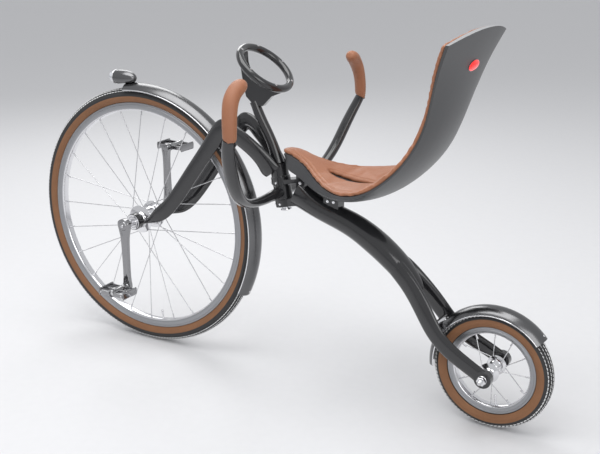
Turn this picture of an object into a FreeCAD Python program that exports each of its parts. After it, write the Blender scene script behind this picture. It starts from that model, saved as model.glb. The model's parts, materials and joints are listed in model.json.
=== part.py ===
import FreeCAD, Part
import math
import os
import Sketcher

# Semi-recumbent cruiser bicycle: hub-driven front wheel on a steered fork, curved spine,
# small rear wheel, moulded seat.  Millimetres, +X forward, +Y left, +Z up.
# Lengths below are measured from the floor under the rear axle; every part is then placed
# relative to the rider point on the seat, which is the origin of the finished model.

DIM = {
    # overall
    "rider_x": (285.0, "rider point, ahead of the rear axle"),
    "rider_z": (545.5, "rider point above the floor"),
    "wheelbase": (991.0, "axle to axle"),
    "f_tyre_r": (350.0, "front tyre outer radius"),
    "r_tyre_r": (142.0, "rear tyre outer radius"),
    "leg_y": (50.0, "fork leg offset at the axle"),
    "blade_y": (60.0, "rear blade offset at the axle"),
    # shared sections
    "tyre_half": (21.0, "tyre section radius"),
    "tyre_wall": ("=tyre_half/6", "tyre wall thickness"),
    "rim_half": ("=tyre_half*9/14", "rim half width"),
    "guard_gap": (12.0, "tyre tread to mudguard crown"),
    "guard_arc": ("=tyre_half + 10", "mudguard section radius"),
    "guard_drop": (17.0, "mudguard crown to lip"),
    "guard_t": (2.0, "mudguard wall"),
    "spoke_r": (1.3, "spoke radius"),
    "run_fit": (0.05, "radial running clearance"),
    # front wheel
    "f_seat_r": ("=f_tyre_r - 1.81*tyre_half", "radius where tyre and rim meet"),
    "f_rim_in": ("=f_seat_r - 22", "front rim inner radius"),
    "f_guard_r": ("=f_tyre_r + guard_gap", "front mudguard crown radius"),
    "f_guard_from": (83.0, "front mudguard start angle"),
    "f_guard_to": (206.5, "front mudguard end angle"),
    "f_flange_r": (37.0, "front hub flange radius"),
    "f_flange_y": ("=leg_y*0.54", "front hub flange offset"),
    "f_hub_half": ("=leg_y - 12", "front hub half length"),
    "f_shell_r": (27.0, "front hub shell radius"),
    # rear wheel
    "r_seat_r": ("=r_tyre_r - 1.71*tyre_half", "radius where tyre and rim meet"),
    "r_rim_in": ("=r_seat_r - 18", "rear rim inner radius"),
    "r_guard_r": ("=r_tyre_r + guard_gap", "rear mudguard crown radius"),
    "r_guard_from": (-6.0, "rear mudguard start angle"),
    "r_guard_to": (140.0, "rear mudguard end angle"),
    "r_flange_r": (23.0, "rear hub flange radius"),
    "r_flange_y": ("=blade_y*0.4", "rear hub flange offset"),
    "r_hub_half": ("=blade_y - 16", "rear hub half length"),
    "r_shell_r": (15.0, "rear hub shell radius"),
    # front axle, cranks and pedals
    "f_axle_r": (14.0, "fixed front axle tube radius"),
    "f_axle_half": ("=leg_y + 12", "fixed front axle half length"),
    "crank_pin_r": (9.0, "crank spindle radius"),
    "crank_len": (170.0, "crank length"),
    "crank_in": ("=leg_y + 37", "inner face of crank arm"),
    "crank_t": (14.0, "crank arm thickness"),
    "crank_w": (20.0, "crank arm width"),
    "pedal_pin_r": (7.0, "pedal pin radius"),
    "pedal_in": ("=crank_in + crank_t + 6", "inner end of pedal"),
    "pedal_w": (56.0, "pedal width across"),
    "pedal_len": (84.0, "pedal length"),
    "pedal_h": (20.0, "pedal height"),
    "pedal_rail": (10.0, "pedal rail width"),
    # rear axle
    "r_axle_r": (6.0, "rear axle radius"),
    "r_axle_half": ("=blade_y + 30", "rear axle half length"),
    "r_end_r": (5.0, "radius of the rear axle's free ends"),
    "r_eye_r": (20.0, "rear blade eye radius"),
    "eye_half": (9.0, "half width of the eyes round both axles"),
    "nut_r": (11.0, "rear axle nut radius"),
    "nut_h": (10.0, "rear axle nut height"),
    # head
    "piv_x": (552.0, "pivot axis at its foot"),
    "piv_z": (446.0, "pivot foot above the floor"),
    "piv_tilt": (11.7, "pivot lean forward, degrees"),
    "pin_r": (9.0, "pivot pin radius"),
    "pin_low": (4.0, "pivot pin below its foot"),
    "lug_r": (24.0, "head lug radius"),
    "lug_h": (18.0, "head lug height"),
    "arm_reach": (62.0, "head lug arm, back from the pivot"),
    "arm_w": (34.0, "head lug arm width"),
    "arm_h": (10.0, "upper head lug arm height"),
    "sleeve_r": (22.0, "bar sleeve radius"),
    "sleeve_h": (35.6, "bar sleeve height"),
    "crown_r": (22.0, "fork crown radius"),
    "crown_h": (30.8, "fork crown height"),
    "head_gap": (1.2, "gap between turning head parts"),
    "lower_s": (2.0, "lower lug, up the pivot axis"),
    "sleeve_s": ("=lower_s + lug_h + head_gap", "bar sleeve, up the pivot axis"),
    "upper_s": ("=sleeve_s + sleeve_h + head_gap", "upper lug, up the pivot axis"),
    "crown_s": ("=upper_s + lug_h + head_gap", "fork crown, up the pivot axis"),
    # display
    "disp_dx": (56.0, "display ring ahead of the pivot foot"),
    "disp_dz": (335.0, "display ring above the pivot foot"),
    "disp_r": (70.0, "display ring radius"),
    "disp_t": (9.5, "display ring section radius"),
    "disp_tilt": (39.3, "display ring turn about Y, degrees"),
    "web_t": (14.0, "display bracket thickness"),
    # headlight and tail light
    "lamp_dx": (59.0, "headlight ahead of the front axle"),
    "lamp_up": (10.0, "headlight centre above the mudguard crown"),
    "lamp_a": (44.0, "headlight half length"),
    "lamp_b": (20.0, "headlight half height"),
    "tail_dx": (-199.5, "tail light from the rider point"),
    "tail_dz": (281.5, "tail light above the rider point"),
    "tail_turn": (69.0, "tail light turn about Y, degrees"),
    "tail_r": (26.0, "tail light radius"),
    "tail_h": (7.0, "tail light bulge"),
    # seat
    "seat_wide": (1.0, "seat width factor"),
    "seat_top": (362.5, "seat top above the rider point"),
    "seat_crown": (669.0, "radius of the seat's arched top edge"),
    "pad_t": (10.0, "seat pad thickness"),
    "pad_gap": (0.3, "pad clear of shell"),
    "slot_dx": (87.0, "pad slot ahead of the rider point"),
    "slot_a": (60.0, "pad slot half length"),
    "slot_b": (13.0, "pad slot half width"),
    "mount_w": (30.0, "seat mount width"),
}

doc = FreeCAD.newDocument("cruiser")
sheet = doc.addObject("Spreadsheet::Sheet", "dims")
for row, (alias, (value, note)) in enumerate(DIM.items(), start=1):
    sheet.set(f"A{row}", note)
    sheet.set(f"B{row}", str(value))
    sheet.setAlias(f"B{row}", alias)
doc.recompute()

NODES = []
VEC = FreeCAD.Vector


def val(alias):
    """Current value of one named size."""
    return float(getattr(sheet, alias))


def keep(obj, label):
    """Mark an object as one finished part of the bicycle."""
    obj.Label = label
    NODES.append(obj)
    return obj


def bind(obj, **expressions):
    """Bind properties to the sheet; double underscores stand for dots."""
    for name, expression in expressions.items():
        obj.setExpression(name.replace("__", "."), str(expression))
    return obj


def place(obj, x="0", y="0", z="0", rotation=None):
    """Place an object at a floor-frame point, moved into the rider frame."""
    if rotation is not None:
        obj.Placement = FreeCAD.Placement(VEC(0, 0, 0), rotation)
    bind(obj, Placement__Base__x=f"({x}) - dims.rider_x", Placement__Base__y=f"({y})",
         Placement__Base__z=f"({z}) - dims.rider_z")
    return obj


def turn_y(degrees):
    return FreeCAD.Rotation(VEC(0, 1, 0), degrees)


ALONG_Y = FreeCAD.Rotation(VEC(1, 0, 0), -90)


def origin_plane(body, role):
    return next(f for f in body.Origin.OriginFeatures if f.Role == role)


def cylinder(name, radius, height, x, y, z, rotation=None):
    obj = doc.addObject("Part::Cylinder", name)
    bind(obj, Radius=radius, Height=height)
    return place(obj, x, y, z, rotation)


def y_rod(name, radius, y_from, length, x, z):
    """A cylinder lying along Y, from y_from towards +Y."""
    return cylinder(name, radius, length, x, y_from, z, ALONG_Y)


def box(name, length, width, height, x, y, z, rotation=None):
    obj = doc.addObject("Part::Box", name)
    bind(obj, Length=length, Width=width, Height=height)
    return place(obj, x, y, z, rotation)


def fuse(name, shapes):
    obj = doc.addObject("Part::MultiFuse", name)
    obj.Shapes = shapes
    obj.Refine = True
    return obj


def cut(name, base, tool):
    obj = doc.addObject("Part::Cut", name)
    obj.Base = base
    obj.Tool = tool
    return obj


def common(name, base, tool):
    obj = doc.addObject("Part::Common", name)
    obj.Base = base
    obj.Tool = tool
    return obj


# ---------------------------------------------------------------- turned parts

def signed(sketch, geo, pos, axis, expression, value):
    """Hold one coordinate of a sketch point at a bound distance from the origin."""
    kind = "DistanceX" if axis == "x" else "DistanceY"
    if value >= 0:
        index = sketch.addConstraint(Sketcher.Constraint(kind, -1, 1, geo, pos, value))
    else:
        index = sketch.addConstraint(Sketcher.Constraint(kind, geo, pos, -1, 1, -value))
        expression = f"-({expression})"
    sketch.setExpression(f"Constraints[{index}]", expression)


def amount(expression):
    """Number an expression on the sheet comes to."""
    text = expression.replace("dims.", "")
    for alias in sorted(DIM, key=len, reverse=True):
        if alias in text:
            text = text.replace(alias, f"({val(alias)!r})")
    return FreeCAD.Units.Quantity(f"({text})*1mm").Value




def revolved(label, points, x, z, angle=360.0, start=0.0):
    """A closed outline of (radius, y) points turned about the Y axis through (x, z)."""
    body = doc.addObject("PartDesign::Body", label)
    sketch = body.newObject("Sketcher::SketchObject", label + "_outline")
    sketch.AttachmentSupport = [(origin_plane(body, "XY_Plane"), "")]
    sketch.MapMode = "FlatFace"
    spots = [VEC(amount(r), amount(y), 0) for r, y in points]
    count = len(points)
    for i in range(count):
        sketch.addGeometry(Part.LineSegment(spots[i], spots[(i + 1) % count]), False)
    for i in range(count):
        sketch.addConstraint(Sketcher.Constraint("Coincident", i, 2, (i + 1) % count, 1))
    for i, (r, y) in enumerate(points):
        signed(sketch, i, 1, "x", r, spots[i].x)
        if abs(spots[i].y) < 1e-9:
            sketch.addConstraint(Sketcher.Constraint("PointOnObject", i, 1, -1))
        else:
            signed(sketch, i, 1, "y", y, spots[i].y)
    spin(body, sketch, label, angle)
    return place(body, x, "0", z, turn_y(start))


def spin(body, sketch, label, angle):
    turn = body.newObject("PartDesign::Revolution", label + "_turn")
    turn.Profile = sketch
    turn.ReferenceAxis = (sketch, ["V_Axis"])
    if isinstance(angle, str):
        turn.setExpression("Angle", angle)
    else:
        turn.Angle = angle
    return turn


def channel(label, middle, outer, inner, lip, x, z, angle=360.0, start=0.0):
    """A curved channel section (tyre or mudguard) turned about Y through (x, z)."""
    body = doc.addObject("PartDesign::Body", label)
    sketch = body.newObject("Sketcher::SketchObject", label + "_section")
    sketch.AttachmentSupport = [(origin_plane(body, "XY_Plane"), "")]
    sketch.MapMode = "FlatFace"
    mid, big, small, edge = (amount(e) for e in (middle, outer, inner, lip))
    ends = []
    for radius in (big, small):
        reach = math.acos((edge - mid) / radius)
        circle = Part.Circle(VEC(mid, 0, 0), VEC(0, 0, 1), radius)
        sketch.addGeometry(Part.ArcOfCircle(circle, -reach, reach), False)
        ends.append((VEC(edge, -radius * math.sin(reach), 0), VEC(edge, radius * math.sin(reach), 0)))
    sketch.addGeometry(Part.LineSegment(ends[0][0], ends[1][0]), False)
    sketch.addGeometry(Part.LineSegment(ends[0][1], ends[1][1]), False)
    for constraint in (("Coincident", 0, 1, 2, 1), ("Coincident", 1, 1, 2, 2),
                       ("Coincident", 0, 2, 3, 1), ("Coincident", 1, 2, 3, 2),
                       ("Coincident", 0, 3, 1, 3), ("PointOnObject", 0, 3, -1),
                       ("Vertical", 2), ("Vertical", 3)):
        sketch.addConstraint(Sketcher.Constraint(*constraint))
    signed(sketch, 0, 3, "x", middle, mid)
    for geo, expression, value in ((0, outer, big), (1, inner, small)):
        index = sketch.addConstraint(Sketcher.Constraint("Radius", geo, value))
        sketch.setExpression(f"Constraints[{index}]", expression)
    signed(sketch, 0, 1, "x", lip, edge)
    signed(sketch, 0, 2, "x", lip, edge)
    spin(body, sketch, label, angle)
    return place(body, x, "0", z, turn_y(start))


# ---------------------------------------------------------------- lofted parts

def loft(name, stations, across, lead=None):
    """Ellipses (x, y, z, half depth, half width) strung along a path and skinned.

    lead is the station of another part that the first ellipse follows on from.
    """
    stations = ([lead] if lead else []) + list(stations)
    rings = []
    for i, (x, y, z, depth, width) in enumerate(stations):
        ring = doc.addObject("Part::Ellipse", f"{name}_ring{i}")
        ring.MajorRadius = max(depth, width) + 0.001
        ring.MinorRadius = min(depth, width)
        place(ring, x, y, z)
        ring.recompute()
        rings.append(ring)
    spots = [ring.Placement.Base for ring in rings]
    for i, ring in enumerate(rings):
        ahead = i if lead and i == 1 else min(i + 1, len(spots) - 1)
        tangent = (spots[ahead] - spots[max(i - 1, 0)]).normalize()
        side = (across - tangent * across.dot(tangent)).normalize()
        tall = side.cross(tangent)
        if stations[i][4] > stations[i][3]:
            tall, side = side * -1, tall
        matrix = FreeCAD.Matrix(tall.x, side.x, tangent.x, 0, tall.y, side.y, tangent.y, 0,
                                tall.z, side.z, tangent.z, 0, 0, 0, 0, 1)
        ring.Placement = FreeCAD.Placement(spots[i], FreeCAD.Placement(matrix).Rotation)
    if lead:
        doc.removeObject(rings.pop(0).Name)
    skin = doc.addObject("Part::Loft", name)
    skin.Sections = rings
    skin.Solid = True
    skin.Ruled = False
    return skin


def on_side(sign, stations):
    """The same stations on the left (1) or the right (-1)."""
    return [(x, f"{sign}*({y})", z, depth, width) for x, y, z, depth, width in stations]


def from_point(x, z, stations):
    """Stations whose x and z are distances ahead of and above a point."""
    return [(f"{x} + {dx}", y, f"{z} + {dz}", depth, width) for dx, y, dz, depth, width in stations]


def between(start, end, stations):
    """Stations whose x and z are shares of the way from one point to another."""
    return [(f"{start[0]} + {u}*({end[0]} - ({start[0]}))", y, f"{start[1]} + {w}*({end[1]} - ({start[1]}))",
             depth, width) for u, y, w, depth, width in stations]


def from_axle(x, z, reach, stations):
    """Stations whose x and z are multiples of a reach from an axle."""
    return [(f"{x} + {u}*{reach}", y, f"{z} + {w}*{reach}", depth, width)
            for u, y, w, depth, width in stations]


FRONT_X = "dims.wheelbase"
FRONT_Z = "dims.f_tyre_r"
REAR_Z = "dims.r_tyre_r"
LATERAL = VEC(0, 1, 0)
SIDES = (("left", 1), ("right", -1))


# ---------------------------------------------------------------- wheels

def wheel(tag, x, z, seat, rim_in, tyre_r, flange_r, flange_y, shell_r, bore, half, count, cross):
    """Tyre, rim, hub and spokes of one wheel; returns nothing, the parts are kept."""
    keep(channel(tag + "_tyre", f"{tyre_r} - dims.tyre_half", "dims.tyre_half",
                 "dims.tyre_half - dims.tyre_wall", seat, x, z), tag + "_tyre")
    rim = keep(revolved(tag + "_rim", [
        (rim_in, "-dims.rim_half*0.55"), (f"{rim_in} + 5", "-dims.rim_half"),
        (seat, "-dims.rim_half"), (seat, "dims.rim_half"),
        (f"{rim_in} + 5", "dims.rim_half"), (rim_in, "dims.rim_half*0.55")], x, z), tag + "_rim")
    profile = [(bore, f"-({half})"), (f"{shell_r}*0.8", f"-({half})"),
               (f"{shell_r}*0.8", f"-({flange_y} + 3)"), (flange_r, f"-({flange_y} + 1.5)"),
               (flange_r, f"-({flange_y} - 1.5)"), (shell_r, f"-({flange_y} - 4)")]
    profile += [(r, y[2:-1] if y.startswith("-(") else y) for r, y in reversed(profile)]
    hub = keep(revolved(tag + "_hub", profile, x, z), tag + "_hub")
    rods = []
    for i in range(count):
        side = 1 if i % 2 else -1
        angle = 2 * math.pi * i / count
        swing = math.radians(cross) * (1 if (i // 2) % 2 else -1)
        inner = (amount(flange_r) - 3.0, angle + swing, side * amount(flange_y))
        outer = (amount(rim_in) + 3.0, angle, side * 3.0)
        a, b = (VEC(r * math.cos(t), y, r * math.sin(t)) for r, t, y in (inner, outer))
        rod = doc.addObject("Part::Cylinder", f"{tag}_spoke{i}")
        bind(rod, Radius="dims.spoke_r")
        rod.Height = (b - a).Length
        place(rod, f"{x} + {a.x!r}", a.y, f"{z} + {a.z!r}", FreeCAD.Rotation(VEC(0, 0, 1), b - a))
        rods.append(rod)
    bunch = doc.addObject("Part::Compound", tag + "_spoke_set")
    bunch.Links = rods
    clear = cut(tag + "_spoke_clear", bunch, hub)
    keep(cut(tag + "_spokes", clear, rim), tag + "_spokes")


wheel("front", FRONT_X, FRONT_Z, "dims.f_seat_r", "dims.f_rim_in", "dims.f_tyre_r", "dims.f_flange_r",
      "dims.f_flange_y", "dims.f_shell_r", "dims.f_axle_r + dims.run_fit", "dims.f_hub_half", 24, 8.0)
wheel("rear", "0", REAR_Z, "dims.r_seat_r", "dims.r_rim_in", "dims.r_tyre_r", "dims.r_flange_r",
      "dims.r_flange_y", "dims.r_shell_r", "dims.r_axle_r + dims.run_fit", "dims.r_hub_half", 12, 28.0)

# ---------------------------------------------------------------- mudguards

for tag, x, z, crown, first, last in (
        ("front", FRONT_X, FRONT_Z, "dims.f_guard_r", "f_guard_from", "f_guard_to"),
        ("rear", "0", REAR_Z, "dims.r_guard_r", "r_guard_from", "r_guard_to")):
    keep(channel(tag + "_mudguard", f"{crown} - dims.guard_arc", "dims.guard_arc",
                 "dims.guard_arc - dims.guard_t", f"{crown} - dims.guard_drop", x, z,
                 angle=f"dims.{last} - dims.{first}", start=-val(last)), tag + "_mudguard")

# ---------------------------------------------------------------- frame

# distances ahead of and above the pivot foot
SPINE = [(-34, 0, 39, 34, 24), (-69, 0, 23, 30, 26), (-110, 0, 6, 28, 27), (-152, 0, -7, 28.5, 28),
         (-196, 0, -23, 30, 29.5), (-227, 0, -39, 31, 30.5), (-269, 0, -66, 31, 31), (-307, 0, -96, 29, 31),
         (-330, 0, -118, 27, 27), (-349, 0, -138, 23, 19), (-362, 0, -154, 16, 8)]
# shares of the way from the elbow over the rear wheel to the spine
BLADE_TOP = [(0.857, "dims.blade_y*0.2", 0.886, 20, 10), (0.632, "dims.blade_y*0.3", 0.712, 23.5, 13),
             (0.406, "dims.blade_y*0.4", 0.5, 23, 11), (0.195, "dims.blade_y*0.533", 0.258, 22.5, 9.5)]
# multiples of the rear mudguard's radius from the rear axle
BLADE_FOOT = [(0.974, "dims.blade_y*0.667", 0.688, 22, 9), (0.792, "dims.blade_y*0.783", 0.468, 21, 8.5),
              (0.571, "dims.blade_y*0.883", 0.299, 20, 8), (0.273, "dims.blade_y*0.967", 0.143, 19, 8),
              (0, "dims.blade_y", 0, 19, 8)]

spine = keep(loft("frame_spine", from_point("dims.piv_x", "dims.piv_z", SPINE), LATERAL), "frame_spine")
ELBOW = ("0.974*dims.r_guard_r", "dims.r_tyre_r + 0.688*dims.r_guard_r")
SPINE_JOINT = ("dims.piv_x - 269", "dims.piv_z - 66")
BLADE = between(ELBOW, SPINE_JOINT, BLADE_TOP) + from_axle("0", REAR_Z, "dims.r_guard_r", BLADE_FOOT)
blades = {}
for side, sign in SIDES:
    skin = loft(f"rear_blade_{side}_skin", on_side(sign, BLADE), LATERAL)
    half = box(f"rear_blade_{side}_half", "420", "120", "420", "-60", "0" if sign > 0 else "-120", "40")
    part = common(f"rear_blade_{side}_part", skin, half)
    eye = y_rod(f"rear_blade_{side}_eye", "dims.r_eye_r", f"{sign}*dims.blade_y - dims.eye_half",
                "2*dims.eye_half", "0", REAR_Z)
    whole = fuse(f"rear_blade_{side}_whole", [part, eye])
    bore = y_rod(f"rear_blade_{side}_bore", "dims.r_axle_r", "-2*dims.blade_y", "4*dims.blade_y", "0", REAR_Z)
    drilled = cut(f"rear_blade_{side}_drilled", whole, bore)
    blades[side] = keep(cut(f"rear_blade_{side}", drilled, spine), f"rear_blade_{side}")


def on_pivot(s, dx=0.0):
    """Floor-frame x and z expressions of a point s up the pivot axis, dx ahead of it."""
    x = f"dims.piv_x + ({s})*sin(dims.piv_tilt*1deg) + ({dx})*cos(dims.piv_tilt*1deg)"
    z = f"dims.piv_z + ({s})*cos(dims.piv_tilt*1deg) - ({dx})*sin(dims.piv_tilt*1deg)"
    return x, z


LEAN = turn_y(val("piv_tilt"))


def stack(name, radius, height, s):
    """A cylinder on the pivot axis."""
    x, z = on_pivot(s)
    return cylinder(name, radius, height, x, "0", z, LEAN)


lugs = {}
for level, s, arm_h in (("lower", "dims.lower_s", "dims.lug_h"), ("upper", "dims.upper_s", "dims.arm_h")):
    ring = stack(f"head_lug_{level}_ring", "dims.lug_r", "dims.lug_h", s)
    x, z = on_pivot(s, "-dims.arm_reach")
    arm = box(f"head_lug_{level}_arm", "dims.arm_reach", "dims.arm_w", arm_h, x, "-dims.arm_w/2", z, LEAN)
    whole = fuse(f"head_lug_{level}_whole", [ring, arm])
    bore = stack(f"head_lug_{level}_bore", "dims.pin_r + dims.run_fit", "200", "-40")
    drilled = cut(f"head_lug_{level}_drilled", whole, bore)
    lugs[level] = keep(cut(f"head_lug_{level}", drilled, spine), f"head_lug_{level}")

# ---------------------------------------------------------------- seat

# from the rider point: centre of the sitting surface x, z, half width, edge lift,
# then shell depth at centre and edge
SEAT = [(272, 44.5, 9, -2, 12, 10), (261, 49.5, 16, -4, 22, 18), (237, 48.5, 24, -4, 40, 32),
        (202, 35.5, 31, -3, 46, 34), (161, 15.5, 58, 1, 48, 26), (125, 1.5, 88, 5, 46, 18),
        (84, -6.5, 120, 9, 38, 12), (40, -6.5, 146, 11, 28, 8), (-2, 0.5, 150, 12, 20, 6),
        (-60, 34.5, 143, 12, 15, 5), (-102, 79.5, 131, 12, 13, 5), (-127, 123.5, 119, 12, 13, 5),
        (-147, 175.5, 118, 12, 13, 5), (-161, 228.5, 130, 10, 13, 5), (-177, 286.5, 147, 8, 13, 6),
        (-198, 345.5, 165, 5, 13, 7), (-208, 372.5, 172, 4, 13, 7)]
ACROSS = (-1.0, -0.8, -0.5, -0.2, 0.0, 0.2, 0.5, 0.8, 1.0)


def seat_wire(index, top, bottom_centre, bottom_edge):
    """One closed cross-section of the seat between two depths under the sitting surface."""
    x, z, half, lift = SEAT[index][:4]
    ahead = SEAT[min(index + 1, len(SEAT) - 1)]
    behind = SEAT[max(index - 1, 0)]
    run = VEC(ahead[0] - behind[0], 0, ahead[1] - behind[1]).normalize()
    normal = VEC(run.z, 0, -run.x)
    half *= val("seat_wide")
    centre = VEC(x, 0, z)

    def point(u, depth):
        return centre + VEC(0, half * u, 0) + normal * (lift * u * u - depth)

    upper = [point(u, top) for u in ACROSS]
    lower = [point(u, bottom_centre + (bottom_edge - bottom_centre) * u * u) for u in reversed(ACROSS)]
    edges = []
    for row in (upper, lower):
        curve = Part.BSplineCurve()
        curve.interpolate(row)
        edges.append(curve.toShape())
    right = Part.makeLine(upper[-1], lower[0])
    left = Part.makeLine(lower[-1], upper[0])
    return Part.Wire([edges[0], right, edges[1], left])


def seat_solid(top, depths):
    """The seat between two depths, trimmed to an arched top edge."""
    wires = [seat_wire(i, top, *depths(SEAT[i])) for i in range(len(SEAT))]
    body = Part.makeLoft(wires, True, False)
    crown = val("seat_crown")
    length = 2 * val("seat_top")
    arch = Part.makeCylinder(crown, length, VEC(-length / 2, 0, val("seat_top") - crown), VEC(1, 0, 0))
    low = Part.makeBox(2 * length, length, length, VEC(-length, -length / 2, -length + 0.6 * val("seat_top")))
    return body.common(arch.fuse(low))


pad_t = val("pad_t")
pad_gap = val("pad_gap")
pad_full = doc.addObject("Part::Feature", "seat_pad_full")
pad_full.Shape = seat_solid(0.0, lambda s: (pad_t, pad_t))
shell = doc.addObject("Part::Feature", "seat_shell")
shell.Shape = seat_solid(pad_t + pad_gap, lambda s: (pad_t + s[4], pad_t + s[5]))
keep(shell, "seat_shell")

slot_ring = doc.addObject("Part::Ellipse", "seat_slot_ring")
bind(slot_ring, MajorRadius="dims.slot_a", MinorRadius="dims.slot_b")
place(slot_ring, "dims.rider_x + dims.slot_dx", "0", "dims.rider_z - dims.slot_a")
slot = doc.addObject("Part::Extrusion", "seat_slot")
slot.Base = slot_ring
slot.DirMode = "Custom"
slot.Dir = VEC(0, 0, 1)
bind(slot, LengthFwd="2*dims.slot_a")
slot.Solid = True
keep(cut("seat_pad", pad_full, slot), "seat_pad")

for level, dx, length, foot, head in (("front", 205, 24, 28, -1.5), ("rear", 113, 40, 2, -41.5)):
    foot_z = f"dims.piv_z + {foot}"
    block = box(f"seat_mount_{level}_block", length, "dims.mount_w", f"dims.rider_z + {head} - ({foot_z})",
                f"dims.rider_x + {dx}", "-dims.mount_w/2", foot_z)
    lower = cut(f"seat_mount_{level}_low", block, spine)
    clear = cut(f"seat_mount_{level}_clear", lower, lugs["upper"])
    keep(cut(f"seat_mount_{level}", clear, shell), f"seat_mount_{level}")

# ---------------------------------------------------------------- steered assembly

pin = keep(stack("pivot_pin", "dims.pin_r", "dims.crown_s + dims.crown_h + dims.pin_low", "-dims.pin_low"),
           "pivot_pin")
sleeve_ring = stack("bar_sleeve_ring", "dims.sleeve_r", "dims.sleeve_h", "dims.sleeve_s")
crown_ring = stack("fork_crown_ring", "dims.crown_r", "dims.crown_h", "dims.crown_s")
crown_room = stack("fork_crown_room", "dims.crown_r", "2*dims.crown_h", "dims.crown_s")

# distances ahead of and above the pivot foot
BAR = [(8, 12, 38, 14, 15), (9, 50, 36, 12, 15), (10, 95, 35, 10.5, 15), (11, 150, 43, 10.5, 15),
       (5, 190, 62, 11, 15.5), (-7, 230, 100, 11.5, 16), (-20, 265, 154, 11.5, 16),
       (-33, 290, 199, 10.5, 15), (-44, 301, 228, 9.5, 14)]
GRIP = [(-44, 301, 228, 12, 16), (-45, 301, 244, 12.5, 16.5), (-44.5, 300, 266, 13, 17),
        (-43, 296, 289, 14, 17.5), (-41, 287, 311, 15.5, 18), (-41, 272, 328, 16.5, 18),
        (-43, 255, 338, 15.5, 17), (-44, 244, 342, 11, 12), (-44, 241, 343, 6, 6.5)]
# distances ahead of and above the crown's middle
LEG_ROOT = [(8, "dims.leg_y*0.28", -3, 26, 11)]
# shares of the way from the crown to the knee over the front mudguard
LEG_TOP = [(0.2, "dims.leg_y*0.48", 0.198, 24, 11), (0.453, "dims.leg_y*0.72", 0.567, 21, 10),
           (0.738, "dims.leg_y*0.9", 0.855, 21, 9)]
# multiples of the front mudguard's radius from the front axle
LEG_FOOT = [(-0.812, "dims.leg_y", 0.785, 23, 8.5), (-0.732, "dims.leg_y", 0.707, 21, 8),
            (-0.528, "dims.leg_y", 0.431, 20, 8), (-0.356, "dims.leg_y", 0.204, 20, 8),
            (-0.296, "dims.leg_y", 0.141, 20, 8), (-0.21, "dims.leg_y", 0.077, 18, 8),
            (0, "dims.leg_y", 0, 18, 8)]
KNEE = (f"{FRONT_X} - 0.812*dims.f_guard_r", f"{FRONT_Z} + 0.785*dims.f_guard_r")
CROWN = on_pivot("dims.crown_s + dims.crown_h/2")
LEG = from_point(*CROWN, LEG_ROOT) + between(CROWN, KNEE, LEG_TOP)
LEG += from_axle(FRONT_X, FRONT_Z, "dims.f_guard_r", LEG_FOOT)
BAR = from_point("dims.piv_x", "dims.piv_z", BAR)
GRIP = from_point("dims.piv_x", "dims.piv_z", GRIP)
BAR_TURN = math.radians(22)

legs = {}
for side, sign in SIDES:
    swept = VEC(math.cos(BAR_TURN), sign * math.sin(BAR_TURN), 0)
    bar_skin = loft(f"handlebar_{side}_skin", on_side(sign, BAR), swept)
    keep(cut(f"handlebar_{side}", bar_skin, sleeve_ring), f"handlebar_{side}")
    keep(loft(f"grip_{side}", on_side(sign, GRIP), swept, on_side(sign, BAR)[-2]), f"grip_{side}")
    leg_skin = loft(f"fork_leg_{side}_skin", on_side(sign, LEG), LATERAL)
    boss = y_rod(f"fork_leg_{side}_boss", "22", f"{sign}*dims.leg_y - dims.eye_half", "2*dims.eye_half",
                 FRONT_X, FRONT_Z)
    whole = fuse(f"fork_leg_{side}_whole", [leg_skin, boss])
    bore = y_rod(f"fork_leg_{side}_bore", "dims.f_axle_r", "-2*dims.leg_y", "4*dims.leg_y", FRONT_X, FRONT_Z)
    drilled = cut(f"fork_leg_{side}_drilled", whole, bore)
    legs[side] = keep(cut(f"fork_leg_{side}", drilled, crown_room), f"fork_leg_{side}")

keep(cut("bar_sleeve", sleeve_ring, pin), "bar_sleeve")
keep(cut("fork_crown", crown_ring, pin), "fork_crown")

# ---------------------------------------------------------------- mudguard bridges

GUARDS = {obj.Label: obj for obj in NODES if obj.Label.endswith("_mudguard")}
for tag, x, z, half, holders in (
        ("front", f"{FRONT_X} - 0.734*dims.f_guard_r", f"{FRONT_Z} + 0.7033*dims.f_guard_r",
         "dims.leg_y*0.92", legs),
        ("rear", "0.8753*dims.r_guard_r", f"{REAR_Z} + 0.5623*dims.r_guard_r", "dims.blade_y*0.767", blades)):
    rod = y_rod(f"{tag}_guard_rod", "7.5", f"-{half}", f"2*{half}", x, z)
    free = cut(f"{tag}_guard_free", rod, GUARDS[f"{tag}_mudguard"])
    for side, holder in holders.items():
        free = cut(f"{tag}_guard_{side}", free, holder)
    keep(free, f"{tag}_guard_bridge")

# ---------------------------------------------------------------- mast and display ring

MAST = [(22, 0, 106.5, 17, 15), (30, 0, 134, 14, 13), (40, 0, 158, 13, 12), (60, 0, 194, 13, 12),
        (82, 0, 238, 12, 12), (88, 0, 251, 12, 12)]
mast_skin = loft("mast_skin", from_point("dims.piv_x", "dims.piv_z", MAST), LATERAL)
mast_clear = cut("mast_clear", mast_skin, crown_ring)
keep(cut("mast", mast_clear, pin), "mast")

DISP_X = "dims.piv_x + dims.disp_dx"
DISP_Z = "dims.piv_z + dims.disp_dz"
ring = doc.addObject("Part::Torus", "display_ring")
bind(ring, Radius1="dims.disp_r", Radius2="dims.disp_t")
place(ring, DISP_X, "0", DISP_Z, turn_y(-val("disp_tilt")))
keep(ring, "display_ring")

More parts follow.
